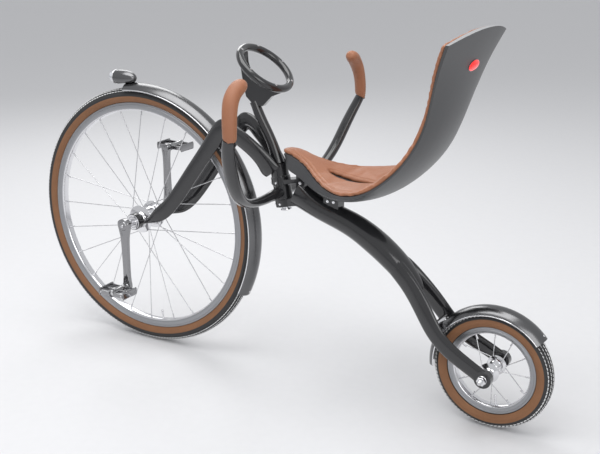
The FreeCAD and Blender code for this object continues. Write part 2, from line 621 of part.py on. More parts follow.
# multiples of the ring's radius from its centre
WEB = [(0.06, -1.31), (0.43, -1.31), (0.74, -1.03), (0.86, -0.51), (0.97, 0.14), (0.94, 0.57), (0.77, 0.6),
       (0.74, 0.14), (0.6, -0.26), (0.17, -0.63), (-0.29, -0.71), (-0.74, -0.57), (-0.8, -0.74), (-0.31, -0.94)]
web = doc.addObject("PartDesign::Body", "display_bracket_web")
outline = web.newObject("Sketcher::SketchObject", "display_bracket_outline")
outline.AttachmentSupport = [(origin_plane(web, "XZ_Plane"), "")]
outline.MapMode = "FlatFace"
corners = [VEC(u, w, 0) * val("disp_r") for u, w in WEB]
for i, corner in enumerate(corners):
    outline.addGeometry(Part.LineSegment(corner, corners[(i + 1) % len(WEB)]), False)
for i in range(len(WEB)):
    outline.addConstraint(Sketcher.Constraint("Coincident", i, 2, (i + 1) % len(WEB), 1))
for i, (u, w) in enumerate(WEB):
    signed(outline, i, 1, "x", f"{u}*dims.disp_r", corners[i].x)
    signed(outline, i, 1, "y", f"{w}*dims.disp_r", corners[i].y)
web_pad = web.newObject("PartDesign::Pad", "display_bracket_pad")
web_pad.Profile = outline
bind(web_pad, Length="dims.web_t")
web_pad.Midplane = True
place(web, DISP_X, "0", DISP_Z)
web_clear = cut("display_bracket_clear", web, ring)
keep(cut("display_bracket", web_clear, mast_skin), "display_bracket")

# ---------------------------------------------------------------- headlight

LAMP_X = f"{FRONT_X} + dims.lamp_dx"
LAMP_Z = f"{FRONT_Z} + dims.f_guard_r + dims.lamp_up"
lamp = doc.addObject("Part::Ellipsoid", "lamp_body")
bind(lamp, Radius1="dims.lamp_b", Radius2="dims.lamp_a", Radius3="dims.lamp_b")
lamp.Angle1 = -90
lamp.Angle2 = 90
place(lamp, LAMP_X, "0", LAMP_Z)
under = y_rod("lamp_under", "dims.f_guard_r", "-100", "200", FRONT_X, FRONT_Z)
lamp_cut = cut("lamp_cut", lamp, under)
nose = box("lamp_nose", "2*dims.lamp_a", "2*dims.lamp_a", "2*dims.lamp_a", f"{LAMP_X} + dims.lamp_a*0.5",
           "-dims.lamp_a", f"{LAMP_Z} - dims.lamp_a")
keep(cut("headlight_shell", lamp_cut, nose), "headlight_shell")
keep(common("headlight_lens", lamp_cut, nose), "headlight_lens")

# ---------------------------------------------------------------- fixed front axle, cranks, pedals

axle_rod = y_rod("front_axle_rod", "dims.f_axle_r", "-dims.f_axle_half", "2*dims.f_axle_half", FRONT_X, FRONT_Z)
SPINDLE_HALF = "(dims.crank_in + dims.crank_t)"
axle_bore = y_rod("front_axle_bore", "dims.crank_pin_r + dims.run_fit", f"-{SPINDLE_HALF}",
                  f"2*{SPINDLE_HALF}", FRONT_X, FRONT_Z)
keep(cut("front_axle", axle_rod, axle_bore), "front_axle")
keep(y_rod("crank_spindle", "dims.crank_pin_r", f"-{SPINDLE_HALF}", f"2*{SPINDLE_HALF}", FRONT_X, FRONT_Z),
     "crank_spindle")

# the left crank points down, the right one up
for side, sign in SIDES:
    up = -sign

    def outward(start, length):
        """Y of a part's lower face, from its distance out from the centre plane."""
        return start if sign > 0 else f"-({start}) - ({length})"

    arm_y = outward("dims.crank_in", "dims.crank_t")
    end_z = f"{FRONT_Z} + {up}*dims.crank_len"
    big = y_rod(f"crank_{side}_big", "0.95*dims.crank_w", arm_y, "dims.crank_t", FRONT_X, FRONT_Z)
    small = y_rod(f"crank_{side}_small", "0.65*dims.crank_w", arm_y, "dims.crank_t", FRONT_X, end_z)
    low_z = FRONT_Z if up > 0 else end_z
    bar = box(f"crank_{side}_bar", "dims.crank_w", "dims.crank_t", "dims.crank_len",
              f"{FRONT_X} - dims.crank_w/2", arm_y, low_z)
    whole = fuse(f"crank_{side}_whole", [big, small, bar])
    bore = y_rod(f"crank_{side}_bore", "dims.crank_pin_r", f"-{SPINDLE_HALF}", f"2*{SPINDLE_HALF}",
                 FRONT_X, FRONT_Z)
    keep(cut(f"crank_arm_{side}", whole, bore), f"crank_arm_{side}")
    pin_len = "dims.pedal_in + dims.pedal_w - 4 - dims.crank_in - dims.crank_t"
    pin_y = outward("dims.crank_in + dims.crank_t", pin_len)
    keep(y_rod(f"pedal_pin_{side}", "dims.pedal_pin_r", pin_y, pin_len, FRONT_X, end_z), f"pedal_pin_{side}")
    block = box(f"pedal_{side}_block", "dims.pedal_len", "dims.pedal_w", "dims.pedal_h",
                f"{FRONT_X} - dims.pedal_len/2", outward("dims.pedal_in", "dims.pedal_w"),
                f"{end_z} - dims.pedal_h/2")
    inner_w = "dims.pedal_w - 2*dims.pedal_rail"
    hole_y = outward("dims.pedal_in + dims.pedal_rail", inner_w)
    hole_len = "(dims.pedal_len/2 - dims.pedal_pin_r - 1.3*dims.pedal_rail)"
    windows = []
    edges = ("- dims.pedal_len/2 + 0.8*dims.pedal_rail", "+ dims.pedal_pin_r + dims.pedal_rail/2")
    for k, x_off in enumerate(edges):
        windows.append(box(f"pedal_{side}_window{k}", hole_len, inner_w, "3*dims.pedal_h",
                           f"{FRONT_X} {x_off}", hole_y, f"{end_z} - 1.5*dims.pedal_h"))
    frame = cut(f"pedal_{side}_frame", block, fuse(f"pedal_{side}_windows", windows))
    shaft = y_rod(f"pedal_{side}_shaft", "dims.pedal_pin_r + dims.run_fit",
                  outward("dims.crank_in", "2*dims.pedal_w + dims.pedal_rail"),
                  "2*dims.pedal_w + dims.pedal_rail", FRONT_X, end_z)
    keep(cut(f"pedal_{side}", frame, shaft), f"pedal_{side}")

# ---------------------------------------------------------------- rear axle and tail light

SHOULDER = "(dims.blade_y + dims.eye_half + dims.nut_h)"
axle_mid = y_rod("rear_axle_mid", "dims.r_axle_r", f"-{SHOULDER}", f"2*{SHOULDER}", "0", REAR_Z)
axle_ends = y_rod("rear_axle_ends", "dims.r_end_r", "-dims.r_axle_half", "2*dims.r_axle_half", "0", REAR_Z)
keep(fuse("rear_axle", [axle_mid, axle_ends]), "rear_axle")
for side, sign in SIDES:
    face = "dims.blade_y + dims.eye_half"
    nut = y_rod(f"rear_nut_{side}_blank", "dims.nut_r", face if sign > 0 else f"-({face}) - dims.nut_h",
                "dims.nut_h", "0", REAR_Z)
    bore = y_rod(f"rear_nut_{side}_bore", "dims.r_axle_r", "-2*dims.blade_y", "4*dims.blade_y", "0", REAR_Z)
    keep(cut(f"rear_nut_{side}", nut, bore), f"rear_nut_{side}")

tail = doc.addObject("Part::Ellipsoid", "tail_blank")
bind(tail, Radius1="dims.tail_h", Radius2="dims.tail_r", Radius3="dims.tail_r")
tail.Angle1 = -90
tail.Angle2 = 90
place(tail, "dims.rider_x + dims.tail_dx", "0", "dims.rider_z + dims.tail_dz", turn_y(val("tail_turn")))
keep(cut("tail_light", tail, shell), "tail_light")

# ---------------------------------------------------------------- write the parts

doc.recompute()
bad = []
for obj in doc.Objects:
    if "Invalid" in obj.State or "Error" in obj.State:
        bad.append(f"{obj.Name}: {obj.State}")
for obj in NODES:
    shape = obj.Shape
    if shape.isNull() or not shape.isValid() or not shape.Solids:
        bad.append(f"{obj.Label}: unusable shape")
if bad:
    raise RuntimeError("; ".join(bad))
os.makedirs("parts", exist_ok=True)
for obj in NODES:
    obj.Shape.exportStep(f"parts/{obj.Label}.step")
    print(obj.Label, len(obj.Shape.Solids), round(obj.Shape.Volume / 1000.0, 1))
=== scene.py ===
import json
import math
from collections import namedtuple

import bmesh
import bpy
from mathutils import Matrix, Vector
from mathutils.bvhtree import BVHTree
from mathutils.kdtree import KDTree


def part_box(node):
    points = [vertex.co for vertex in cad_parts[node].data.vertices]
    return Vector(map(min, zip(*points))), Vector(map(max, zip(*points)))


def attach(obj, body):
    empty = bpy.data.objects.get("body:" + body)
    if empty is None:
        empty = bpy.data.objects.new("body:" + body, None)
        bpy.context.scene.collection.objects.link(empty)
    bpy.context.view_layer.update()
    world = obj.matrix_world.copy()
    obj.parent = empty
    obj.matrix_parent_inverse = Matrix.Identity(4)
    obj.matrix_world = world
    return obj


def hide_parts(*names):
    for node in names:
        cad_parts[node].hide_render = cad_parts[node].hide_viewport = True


bl_info = {
    "name": "Cruiser bicycle finish",
    "version": (1, 0, 0),
    "blender": (4, 5, 0),
    "location": "View3D > Sidebar > Cruiser",
    "description": "Finishes the packed bicycle: tyres, wheels, seat, grips, cranks and lights",
    "category": "Object",
}

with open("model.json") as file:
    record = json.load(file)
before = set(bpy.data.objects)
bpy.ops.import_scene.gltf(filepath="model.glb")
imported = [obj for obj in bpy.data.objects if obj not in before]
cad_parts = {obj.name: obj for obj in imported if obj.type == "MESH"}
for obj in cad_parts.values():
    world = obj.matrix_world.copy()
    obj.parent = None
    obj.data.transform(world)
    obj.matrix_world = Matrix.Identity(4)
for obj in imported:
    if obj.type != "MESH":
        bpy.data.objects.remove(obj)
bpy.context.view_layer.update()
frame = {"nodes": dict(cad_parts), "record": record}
NODES = frame["nodes"]


def span(node, axis):
    """Length of a node's box along one axis: 0 along, 1 across, 2 up."""
    low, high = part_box(node)
    return high[axis] - low[axis]


# driving dimensions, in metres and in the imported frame
FRONT_HUB = tuple((a + b) / 2 for a, b in zip(*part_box("front_tyre")))
REAR_HUB = tuple((a + b) / 2 for a, b in zip(*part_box("rear_tyre")))
FLOOR_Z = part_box("front_tyre")[0][2]
LEFTWARD = Vector((0.0, 1.0, 0.0))
CORE = 0.0001           # radius left open at the middle of a turned end
PLAY = 0.0001           # room between a shaft and its bore
PAD_CAP = 0.006         # furthest that the pad's cover swells
GRIP_CAP = 0.0016       # furthest that a grip's cover swells
GRIP_CELL = 0.0032
CLOTH_FRAMES = 20
VALVE_ANGLE = 262       # degrees round the wheel
WASHER = 0.0022         # thickness of the washer under a rear nut
PEDAL_TEETH = 9
LAMP_SQUASH = 0.5       # height of the tail light against its width

Wheel = namedtuple("Wheel", "name hub outer rim steps rim_depth flange_share shell_share holder")
WHEELS = (
    Wheel("front", FRONT_HUB, span("front_tyre", 0) / 2, span("front_rim", 0) / 2, 240, 0.022, 0.71, 0.73,
          "steering"),
    Wheel("rear", REAR_HUB, span("rear_tyre", 0) / 2, span("rear_rim", 0) / 2, 144, 0.018, 0.545, 0.65,
          "frame"),
)


# ---------------------------------------------------------------- node graphs

class Value:
    """A node socket that can be used in sums."""

    def __init__(self, graph, socket):
        self.graph = graph
        self.socket = socket

    def _math(self, operation, *values):
        return self.graph.node("ShaderNodeMath", {"operation": operation}, dict(enumerate(values)))

    def __add__(self, other):
        return self._math("ADD", self, other)

    __radd__ = __add__

    def __sub__(self, other):
        return self._math("SUBTRACT", self, other)

    def __rsub__(self, other):
        return self._math("SUBTRACT", other, self)

    def __mul__(self, other):
        return self._math("MULTIPLY", self, other)

    __rmul__ = __mul__

    def __truediv__(self, other):
        return self._math("DIVIDE", self, other)

    def __rtruediv__(self, other):
        return self._math("DIVIDE", other, self)

    def __pow__(self, other):
        return self._math("POWER", self, other)

    def __neg__(self):
        return self._math("MULTIPLY", self, -1.0)


class Graph:
    """A node tree with one method that adds any node."""

    def __init__(self, tree):
        self.tree = tree

    def node(self, kind, settings=None, inputs=None, out=0):
        made = self.tree.nodes.new(kind)
        for name, value in (settings or {}).items():
            setattr(made, name, value)
        for key, value in (inputs or {}).items():
            socket = made.inputs[key]
            if isinstance(value, Value):
                self.tree.links.new(value.socket, socket)
            else:
                socket.default_value = value
        return Value(self, made.outputs[out]) if len(made.outputs) else made

    def step(self, value, low, high):
        """0 below low, 1 above high, smooth between."""
        return self.node("ShaderNodeMapRange", {"interpolation_type": "SMOOTHSTEP"},
                         {0: value, 1: low, 2: high, 3: 0.0, 4: 1.0})

    def spot(self):
        return self.node("ShaderNodeTexCoord", out="Object")

    def noise(self, scale, detail=3.0, rough=0.5, where=None):
        return self.node("ShaderNodeTexNoise", {}, {"Vector": where or self.spot(), "Scale": scale,
                                                    "Detail": detail, "Roughness": rough})

    def blend(self, amount, first, second):
        return self.node("ShaderNodeMix", {"data_type": "RGBA"}, {0: amount, 6: first, 7: second}, out=2)

    def bump(self, height, strength, distance):
        return self.node("ShaderNodeBump", {}, {"Strength": strength, "Distance": distance, "Height": height})

    def radius(self, centre):
        """Distance from a wheel's axle, in metres."""
        parts = self.node("ShaderNodeSeparateXYZ", {}, {0: self.spot()})
        x = Value(self, parts.socket.node.outputs[0]) - centre[0]
        z = Value(self, parts.socket.node.outputs[2]) - centre[2]
        return (x * x + z * z) ** 0.5


def material(name, **constants):
    """A Principled material; constants go straight on the shader's sockets."""
    made = bpy.data.materials.new(name)
    made.use_nodes = True
    shader = made.node_tree.nodes["Principled BSDF"]
    for socket, value in constants.items():
        shader.inputs[socket.replace("_", " ")].default_value = value
    graph = Graph(made.node_tree)

    def feed(**links):
        for socket, value in links.items():
            made.node_tree.links.new(value.socket, shader.inputs[socket.replace("_", " ")])
        return made

    return graph, feed


def rgba(r, g, b):
    """An opaque colour."""
    return (r, g, b, 1.0)


def black_lacquer():
    """Deep gloss black over a moulded beam, with faint polish marks."""
    g, feed = material("black_lacquer", Metallic=0.0, Coat_Weight=0.6, Coat_Roughness=0.04)
    haze = g.noise(14.0, 4.0)
    dust = g.noise(420.0, 2.0)
    colour = g.blend(haze, rgba(0.008, 0.008, 0.009), rgba(0.02, 0.02, 0.022))
    return feed(Base_Color=colour, Roughness=0.10 + haze * 0.10 + dust * 0.03,
                Normal=g.bump(g.noise(60.0, 1.0), 0.03, 0.001))


def satin_shell():
    """Moulded dark grey seat shell with a fine pebbled surface."""
    g, feed = material("satin_shell", Coat_Weight=0.15, Coat_Roughness=0.3)
    cloud = g.noise(7.0, 4.0)
    pebble = g.node("ShaderNodeTexVoronoi", {}, {"Vector": g.spot(), "Scale": 900.0})
    colour = g.blend(cloud, rgba(0.040, 0.041, 0.043), rgba(0.062, 0.063, 0.066))
    return feed(Base_Color=colour, Roughness=0.34 + cloud * 0.14, Normal=g.bump(pebble, 0.10, 0.0004))


def pale_edge():
    """Painted highlight along the upward-facing top edge of the seat shell: a lighter grey than its faces,
    standing for the light falling on it from above.
    """
    g, feed = material("pale_edge", Coat_Weight=0.1, Coat_Roughness=0.35)
    cloud = g.noise(30.0, 4.0)
    grain = g.noise(900.0, 2.0)
    # the lighter grey base colour is a painted highlight on the shell's top edge
    return feed(Base_Color=g.blend(cloud, rgba(0.26, 0.265, 0.27), rgba(0.33, 0.335, 0.34)),
                Roughness=0.38 + cloud * 0.12, Normal=g.bump(grain, 0.12, 0.0003))


def tread_rubber():
    """Black rubber of the tread blocks, with dust on it."""
    g, feed = material("tread_rubber")
    dust = g.noise(35.0, 5.0, 0.65)
    grit = g.noise(800.0, 3.0)
    return feed(Base_Color=g.blend(dust, rgba(0.014, 0.014, 0.015), rgba(0.045, 0.043, 0.041)),
                Roughness=0.66 + grit * 0.16, Normal=g.bump(grit, 0.25, 0.0004))


def dark_chrome(name, tone, rough):
    """Polished metal with faint smears, as on the mudguards, hubs and cranks."""
    g, feed = material(name, Metallic=1.0)
    smear = g.noise(18.0, 5.0, 0.6)
    fine = g.noise(260.0, 2.0)
    colour = g.blend(smear, rgba(tone, tone, tone * 1.02), rgba(tone * 0.86, tone * 0.86, tone * 0.88))
    return feed(Base_Color=colour, Roughness=rough + smear * rough * 0.8 + fine * 0.02,
                Normal=g.bump(fine, 0.02, 0.0003))


def turned_alloy(name, centre, bright_below):
    """Rim alloy: satin flanks with turning marks, polished on the inner face."""
    g, feed = material(name, Metallic=1.0)
    r = g.radius(centre)
    lines = g.node("ShaderNodeMath", {"operation": "SINE"}, {0: r * 9000.0})
    grit = g.noise(300.0, 3.0)
    flank = g.step(r, bright_below, bright_below + 0.002)
    colour = g.blend(flank, rgba(0.75, 0.75, 0.77), rgba(0.36, 0.365, 0.38))
    return feed(Base_Color=colour, Roughness=0.10 + flank * 0.26 + grit * 0.06,
                Normal=g.bump(lines * flank + grit, 0.06, 0.0003))


def tyre_rubber(name, centre, tan_to, tan_from):
    """Black tread rubber with a tan woven side wall between two radii."""
    g, feed = material(name, Metallic=0.0)
    r = g.radius(centre)
    grime = g.noise(22.0, 5.0, 0.65)
    grit = g.noise(700.0, 3.0)
    weave = g.node("ShaderNodeTexWave", {"wave_type": "RINGS", "rings_direction": "SPHERICAL"},
                   {"Vector": g.spot(), "Scale": 260.0, "Distortion": 0.6})
    edge = g.step(r + (grime - 0.5) * 0.0006, tan_to - 0.0004, tan_to + 0.0004)
    heel = g.step(r, tan_from, tan_from + 0.0008)
    tan = g.blend(grime, rgba(0.27, 0.125, 0.055), rgba(0.19, 0.085, 0.038))
    black = g.blend(grime, rgba(0.016, 0.016, 0.017), rgba(0.034, 0.033, 0.033))
    colour = g.blend(edge, g.blend(heel, rgba(0.05, 0.045, 0.04), tan), black)
    return feed(Base_Color=colour, Roughness=0.62 - edge * 0.06 + grit * 0.12,
                Normal=g.bump(grit + weave * (1.0 - edge) * 0.5, 0.22, 0.0004))


def tan_leather():
    """Full-grain tan leather: pores, soft creases and handled, glossier patches."""
    g, feed = material("tan_leather", Sheen_Weight=0.08, Sheen_Roughness=0.4)
    broad = g.noise(9.0, 5.0, 0.6)
    mottle = g.noise(85.0, 4.0, 0.6)
    cells = g.node("ShaderNodeTexVoronoi", {"feature": "DISTANCE_TO_EDGE"},
                   {"Vector": g.spot(), "Scale": 520.0, "Randomness": 1.0})
    crack = g.step(cells, 0.0, 0.16)
    pores = g.noise(1500.0, 2.0)
    base = g.blend(broad, rgba(0.42, 0.175, 0.088), rgba(0.31, 0.122, 0.060))
    colour = g.blend((1.0 - crack) * 0.35 + mottle * 0.18, base, rgba(0.20, 0.075, 0.036))
    return feed(Base_Color=colour, Roughness=0.40 + mottle * 0.16 + (1.0 - crack) * 0.12 - broad * 0.06,
                Normal=g.bump(crack * 0.7 + pores * 0.3 + mottle * 0.4, 0.32, 0.0006))


def thread():
    """Waxed thread with a faint twist."""
    g, feed = material("waxed_thread")
    twist = g.noise(900.0, 2.0)
    return feed(Base_Color=g.blend(twist, rgba(0.50, 0.27, 0.15), rgba(0.33, 0.16, 0.08)),
                Roughness=0.55 + twist * 0.2, Normal=g.bump(twist, 0.3, 0.0004))


def grip_rubber():
    """Fine-grained black rubber."""
    g, feed = material("black_rubber")
    grain = g.noise(600.0, 3.0)
    return feed(Base_Color=g.blend(grain, rgba(0.012, 0.012, 0.012), rgba(0.03, 0.03, 0.03)),
                Roughness=0.55 + grain * 0.2, Normal=g.bump(grain, 0.3, 0.0005))


def glowing_red():
    """Lit red lens with fine facets."""
    g, feed = material("glowing_red", Emission_Strength=0.9, Coat_Weight=0.5, Coat_Roughness=0.05)
    facets = g.node("ShaderNodeTexVoronoi", {}, {"Vector": g.spot(), "Scale": 330.0})
    return feed(Base_Color=g.blend(facets, rgba(0.75, 0.010, 0.012), rgba(0.45, 0.004, 0.006)),
                Emission_Color=g.blend(facets, rgba(1.0, 0.035, 0.03), rgba(0.8, 0.012, 0.01)),
                Roughness=0.15 + facets * 0.1, Normal=g.bump(facets, 0.25, 0.0006))


def lamp_glass():
    """Clear lamp glass with upright flutes."""
    g, feed = material("lamp_glass", Transmission_Weight=0.85, IOR=1.45)
    flutes = g.node("ShaderNodeTexWave", {"bands_direction": "Y"}, {"Vector": g.spot(), "Scale": 120.0})
    return feed(Base_Color=g.blend(flutes, rgba(0.95, 0.96, 1.0), rgba(0.85, 0.88, 0.92)),
                Roughness=0.04 + flutes * 0.05, Normal=g.bump(flutes, 0.3, 0.0006))


# ---------------------------------------------------------------- mesh makers

def link(name, mesh, paint, body, replaced=()):
    """Shows a mesh as a finished piece that rides on a body."""
    piece = bpy.data.objects.new(name, mesh)
    bpy.context.scene.collection.objects.link(piece)
    if paint is not None:
        mesh.materials.clear()
        mesh.materials.append(paint)
    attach(piece, body)
    if replaced:
        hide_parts(*replaced)
    return piece


def as_mesh(work, name):
    """Turns a working bmesh into a mesh and frees it."""
    mesh = bpy.data.meshes.new(name)
    work.to_mesh(mesh)
    work.free()
    return mesh


def smooth(mesh, angle=40.0):
    """Smooth shading with edges kept sharp past an angle."""
    mesh.shade_smooth()
    work = bmesh.new()
    work.from_mesh(mesh)
    for edge in work.edges:
        if len(edge.link_faces) != 2 or edge.calc_face_angle(0.0) > math.radians(angle):
            edge.smooth = False
    work.to_mesh(mesh)
    work.free()
    return mesh


def merged(node, weld=2e-5):
    """A welded copy of a CAD node's mesh."""
    mesh = NODES[node].data.copy()
    work = bmesh.new()
    work.from_mesh(mesh)
    bmesh.ops.remove_doubles(work, verts=work.verts, dist=weld)
    work.to_mesh(mesh)
    work.free()
    mesh.materials.clear()
    if mesh.has_custom_normals:
        mesh.normals_split_custom_set([(0.0, 0.0, 0.0)] * len(mesh.loops))
    return mesh


def lathe(name, outline, centre, steps=180, angle=35.0):
    """Turns a closed (radius, y) outline about a Y axis through the centre."""
    work = bmesh.new()
    rings = []
    for i in range(steps):
        t = math.radians(360.0 * i / steps)
        rings.append([work.verts.new((centre[0] + r * math.cos(t), centre[1] + y,
                                      centre[2] + r * math.sin(t))) for r, y in outline])
    n = len(outline)
    for i in range(steps):
        here, ahead = rings[i], rings[(i + 1) % steps]
        for j in range(n):
            k = (j + 1) % n
            work.faces.new((here[j], here[k], ahead[k], ahead[j]))
    bmesh.ops.recalc_face_normals(work, faces=work.faces)
    return smooth(as_mesh(work, name), angle)


def mirrored(side):
    """A (radius, y) outline of one side, closed by its mirror image."""
    return side + [(r, -y) for r, y in reversed(side)]


def hose(name, points, radius, sides=10, closed=False):
    """A round bead along a line of points."""
    work = bmesh.new()
    spots = [Vector(p) for p in points]
    count = len(spots)
    rings = []
    side = None
    for i, spot in enumerate(spots):
        ahead = spots[(i + 1) % count] if closed else spots[min(i + 1, count - 1)]
        behind = spots[i - 1] if closed or i else spots[0]
        tangent = (ahead - behind).normalized()
        if side is None:
            side = tangent.orthogonal().normalized()
        side = (side - tangent * side.dot(tangent)).normalized()
        other = tangent.cross(side)
        rings.append([work.verts.new(spot + (side * math.cos(2 * math.pi * k / sides)
                                             + other * math.sin(2 * math.pi * k / sides)) * radius)
                      for k in range(sides)])
    turns = count if closed else count - 1
    for i in range(turns):
        here, ahead = rings[i], rings[(i + 1) % count]
        shift = 0
        if closed and i == count - 1:
            shift = min(range(sides), key=lambda s: (here[0].co - ahead[s].co).length)
        for k in range(sides):
            work.faces.new((here[k], here[(k + 1) % sides], ahead[(k + 1 + shift) % sides],
                            ahead[(k + shift) % sides]))
    if not closed:
        work.faces.new(rings[0])
        work.faces.new(rings[-1])
    bmesh.ops.recalc_face_normals(work, faces=work.faces)
    return smooth(as_mesh(work, name), 60.0)


def joined(name, meshes):
    """Several meshes as one, with their materials kept."""
    work = bmesh.new()
    slots = []
    for mesh in meshes:
        first = len(work.faces)
        work.from_mesh(mesh)
        work.faces.ensure_lookup_table()
        paint = mesh.materials[0] if mesh.materials else None
        if paint not in slots:
            slots.append(paint)
        for face in work.faces[first:]:
            face.material_index = slots.index(paint)
    whole = as_mesh(work, name)
    for paint in slots:
        whole.materials.append(paint)
    return whole


def turned(name, outline, origin, axis, steps=48, angle=35.0):
    """A closed (radius, height) outline turned about any axis through a point."""
    mesh = lathe(name, outline, (0.0, 0.0, 0.0), steps, angle=angle)
    aim = Vector((0.0, 1.0, 0.0)).rotation_difference(Vector(axis)).to_matrix().to_4x4()
    mesh.transform(Matrix.Translation(origin) @ aim)
    return mesh


def block(name, low, high, bevel, segments=3):
    """A box with rounded edges between two corners."""
    work = bmesh.new()
    bmesh.ops.create_cube(work, size=1.0)
    low, high = Vector(low), Vector(high)
    for vert in work.verts:
        vert.co = (low + high) / 2 + Vector(c * d for c, d in zip(vert.co, high - low))
    bmesh.ops.bevel(work, geom=work.edges[:], offset=bevel, segments=segments, affect="EDGES", profile=0.6)
    return smooth(as_mesh(work, name), 35.0)


def plate(name, outline, y_from, y_to, bevel, sunk=0.0):
    """An (x, z) outline given a thickness along Y, with rounded rims and a sunk panel on both faces."""
    work = bmesh.new()
    face = work.faces.new([work.verts.new((x, y_from, z)) for x, z in outline])
    grown = bmesh.ops.extrude_face_region(work, geom=[face])
    for item in grown["geom"]:
        if isinstance(item, bmesh.types.BMVert):
            item.co.y = y_to
    bmesh.ops.recalc_face_normals(work, faces=work.faces)
    caps = [f for f in work.faces if len(f.verts) == len(outline)]
    rims = dict.fromkeys(edge for f in caps for edge in f.edges)
    bmesh.ops.bevel(work, geom=list(rims), offset=bevel, segments=3, affect="EDGES", profile=0.6)
    if sunk:
        caps = [f for f in work.faces if len(f.verts) == len(outline)]
        bmesh.ops.inset_individual(work, faces=caps, thickness=bevel * 1.2, depth=0.0)
        bmesh.ops.inset_individual(work, faces=caps, thickness=bevel * 0.3, depth=-sunk)
    return smooth(as_mesh(work, name), 35.0)


def rounded(outline, times=2):
    """Cuts the corners of a closed outline until it is smooth."""
    for _ in range(times):
        outline = [tuple(a * k + b * (1 - k) for a, b in zip(here, ahead))
                   for here, ahead in zip(outline, outline[1:] + outline[:1]) for k in (0.75, 0.25)]
    return outline


def evened(loop, rounds):
    """A closed line of points with its corners evened out."""
    for _ in range(rounds):
        loop = [(a + b * 2 + c) / 4
                for a, b, c in zip(loop[-1:] + loop[:-1], loop, loop[1:] + loop[:1])]
    return loop


def surface_of(mesh):
    """A mesh's surface, ready for nearest-point and ray searches."""
    return BVHTree.FromPolygons([v.co for v in mesh.vertices], [p.vertices for p in mesh.polygons])


def stuffed(name, mesh, cell, cap, pinned, pressure=4.0):
    """Swells a closed mesh with the cloth solver; pinned(point) is 1 where it must stay."""
    piece = bpy.data.objects.new(name + "_swell", mesh)
    bpy.context.scene.collection.objects.link(piece)
    bpy.context.view_layer.objects.active = piece
    remesh = piece.modifiers.new("cells", "REMESH")
    remesh.mode = "VOXEL"
    remesh.voxel_size = cell
    shape = evaluated(piece)
    shape.shade_smooth()
    start = [v.co.copy() for v in shape.vertices]
    piece = bpy.data.objects.new(name + "_cloth", shape)
    bpy.context.scene.collection.objects.link(piece)
    hold = piece.vertex_groups.new(name="hold")
    for i, co in enumerate(start):
        weight = pinned(co)
        if weight > 0.0:
            hold.add([i], weight, "REPLACE")
    cloth = piece.modifiers.new("swell", "CLOTH")
    cloth.settings.quality = 4
    cloth.settings.use_pressure = True
    cloth.settings.uniform_pressure_force = pressure
    cloth.settings.effector_weights.gravity = 0.0
    cloth.settings.vertex_group_mass = "hold"
    cloth.settings.tension_stiffness = 25.0
    cloth.settings.compression_stiffness = 25.0
    cloth.settings.bending_stiffness = 4.0
    cloth.collision_settings.use_collision = False
    cloth.point_cache.frame_start = 1
    cloth.point_cache.frame_end = CLOTH_FRAMES
    scene = bpy.context.scene
    for step in range(1, CLOTH_FRAMES + 1):
        scene.frame_set(step)
    swollen = evaluated(piece)
    scene.frame_set(1)
    for vert, home in zip(swollen.vertices, start):
        move = vert.co - home
        if move.length > cap:
            move *= cap / move.length
        vert.co = home + move
    return swollen


def relaxed(mesh, rounds, keep=None):
    """Evens out a mesh; keep(point) is 1 where points must not move."""
    work = bmesh.new()
    work.from_mesh(mesh)
    verts = [v for v in work.verts if keep is None or keep(v.co) < 0.5]
    for _ in range(rounds):
        bmesh.ops.smooth_vert(work, verts=verts, factor=0.5, use_axis_x=True, use_axis_y=True,
                              use_axis_z=True)
    work.to_mesh(mesh)
    work.free()
    return mesh


def subdivided(mesh):
    """One level of subdivision surface, worked out."""
    piece = bpy.data.objects.new(mesh.name + "_fine", mesh)
    bpy.context.scene.collection.objects.link(piece)
    modifier = piece.modifiers.new("fine", "SUBSURF")
    modifier.levels = modifier.render_levels = 1
    return evaluated(piece)


def grooved(mesh, line, depth, width):
    """Sinks a sewn channel into a mesh along a line of points."""
    tree = KDTree(len(line))
    for i, point in enumerate(line):
        tree.insert(point, i)
    tree.balance()
    normals = [v.normal.copy() for v in mesh.vertices]
    for vert, normal in zip(mesh.vertices, normals):
        distance = tree.find(vert.co)[2]
        if distance < 3.0 * width:
            vert.co -= normal * depth * math.exp(-(distance / width) ** 2)
    return mesh


def evaluated(piece):
    """The piece's mesh with its modifiers worked out; the working object is removed."""
    graph = bpy.context.evaluated_depsgraph_get()
    mesh = bpy.data.meshes.new_from_object(piece.evaluated_get(graph))
    piece.modifiers.clear()
    bpy.data.objects.remove(piece)
    return mesh


# ---------------------------------------------------------------- geometry node trees

def node_tree(name, inputs):
    """A geometry tree with named inputs, its graph and those inputs by name."""
    tree = bpy.data.node_groups.new(name, "GeometryNodeTree")
    tree.interface.new_socket("Geometry", in_out="INPUT", socket_type="NodeSocketGeometry")
    for label, kind in inputs:
        tree.interface.new_socket(label, in_out="INPUT", socket_type=kind)
    tree.interface.new_socket("Geometry", in_out="OUTPUT", socket_type="NodeSocketGeometry")
    entry = tree.nodes.new("NodeGroupInput")
    graph = Graph(tree)
    return tree, graph, {s.name: Value(graph, s) for s in entry.outputs if s.name}


def finish_tree(graph, geometry, paint):
    """Realize Instances and Set Material, then the output."""
    real = graph.node("GeometryNodeRealizeInstances", {}, {0: geometry})
    painted = graph.node("GeometryNodeSetMaterial", {}, {"Geometry": real, "Material": paint})
    graph.node("NodeGroupOutput", {}, {0: painted})


def run_tree(name, tree, data, values):
    """Evaluates a tree on some data and returns the plain mesh."""
    holder = bpy.data.objects.new(name + "_source", data)
    bpy.context.scene.collection.objects.link(holder)
    modifier = holder.modifiers.new(name, "NODES")
    modifier.node_group = tree
    for item in tree.interface.items_tree:
        if item.item_type == "SOCKET" and item.in_out == "INPUT" and item.name in values:
            modifier[item.identifier] = values[item.name]
    bpy.context.view_layer.update()
    return evaluated(holder)


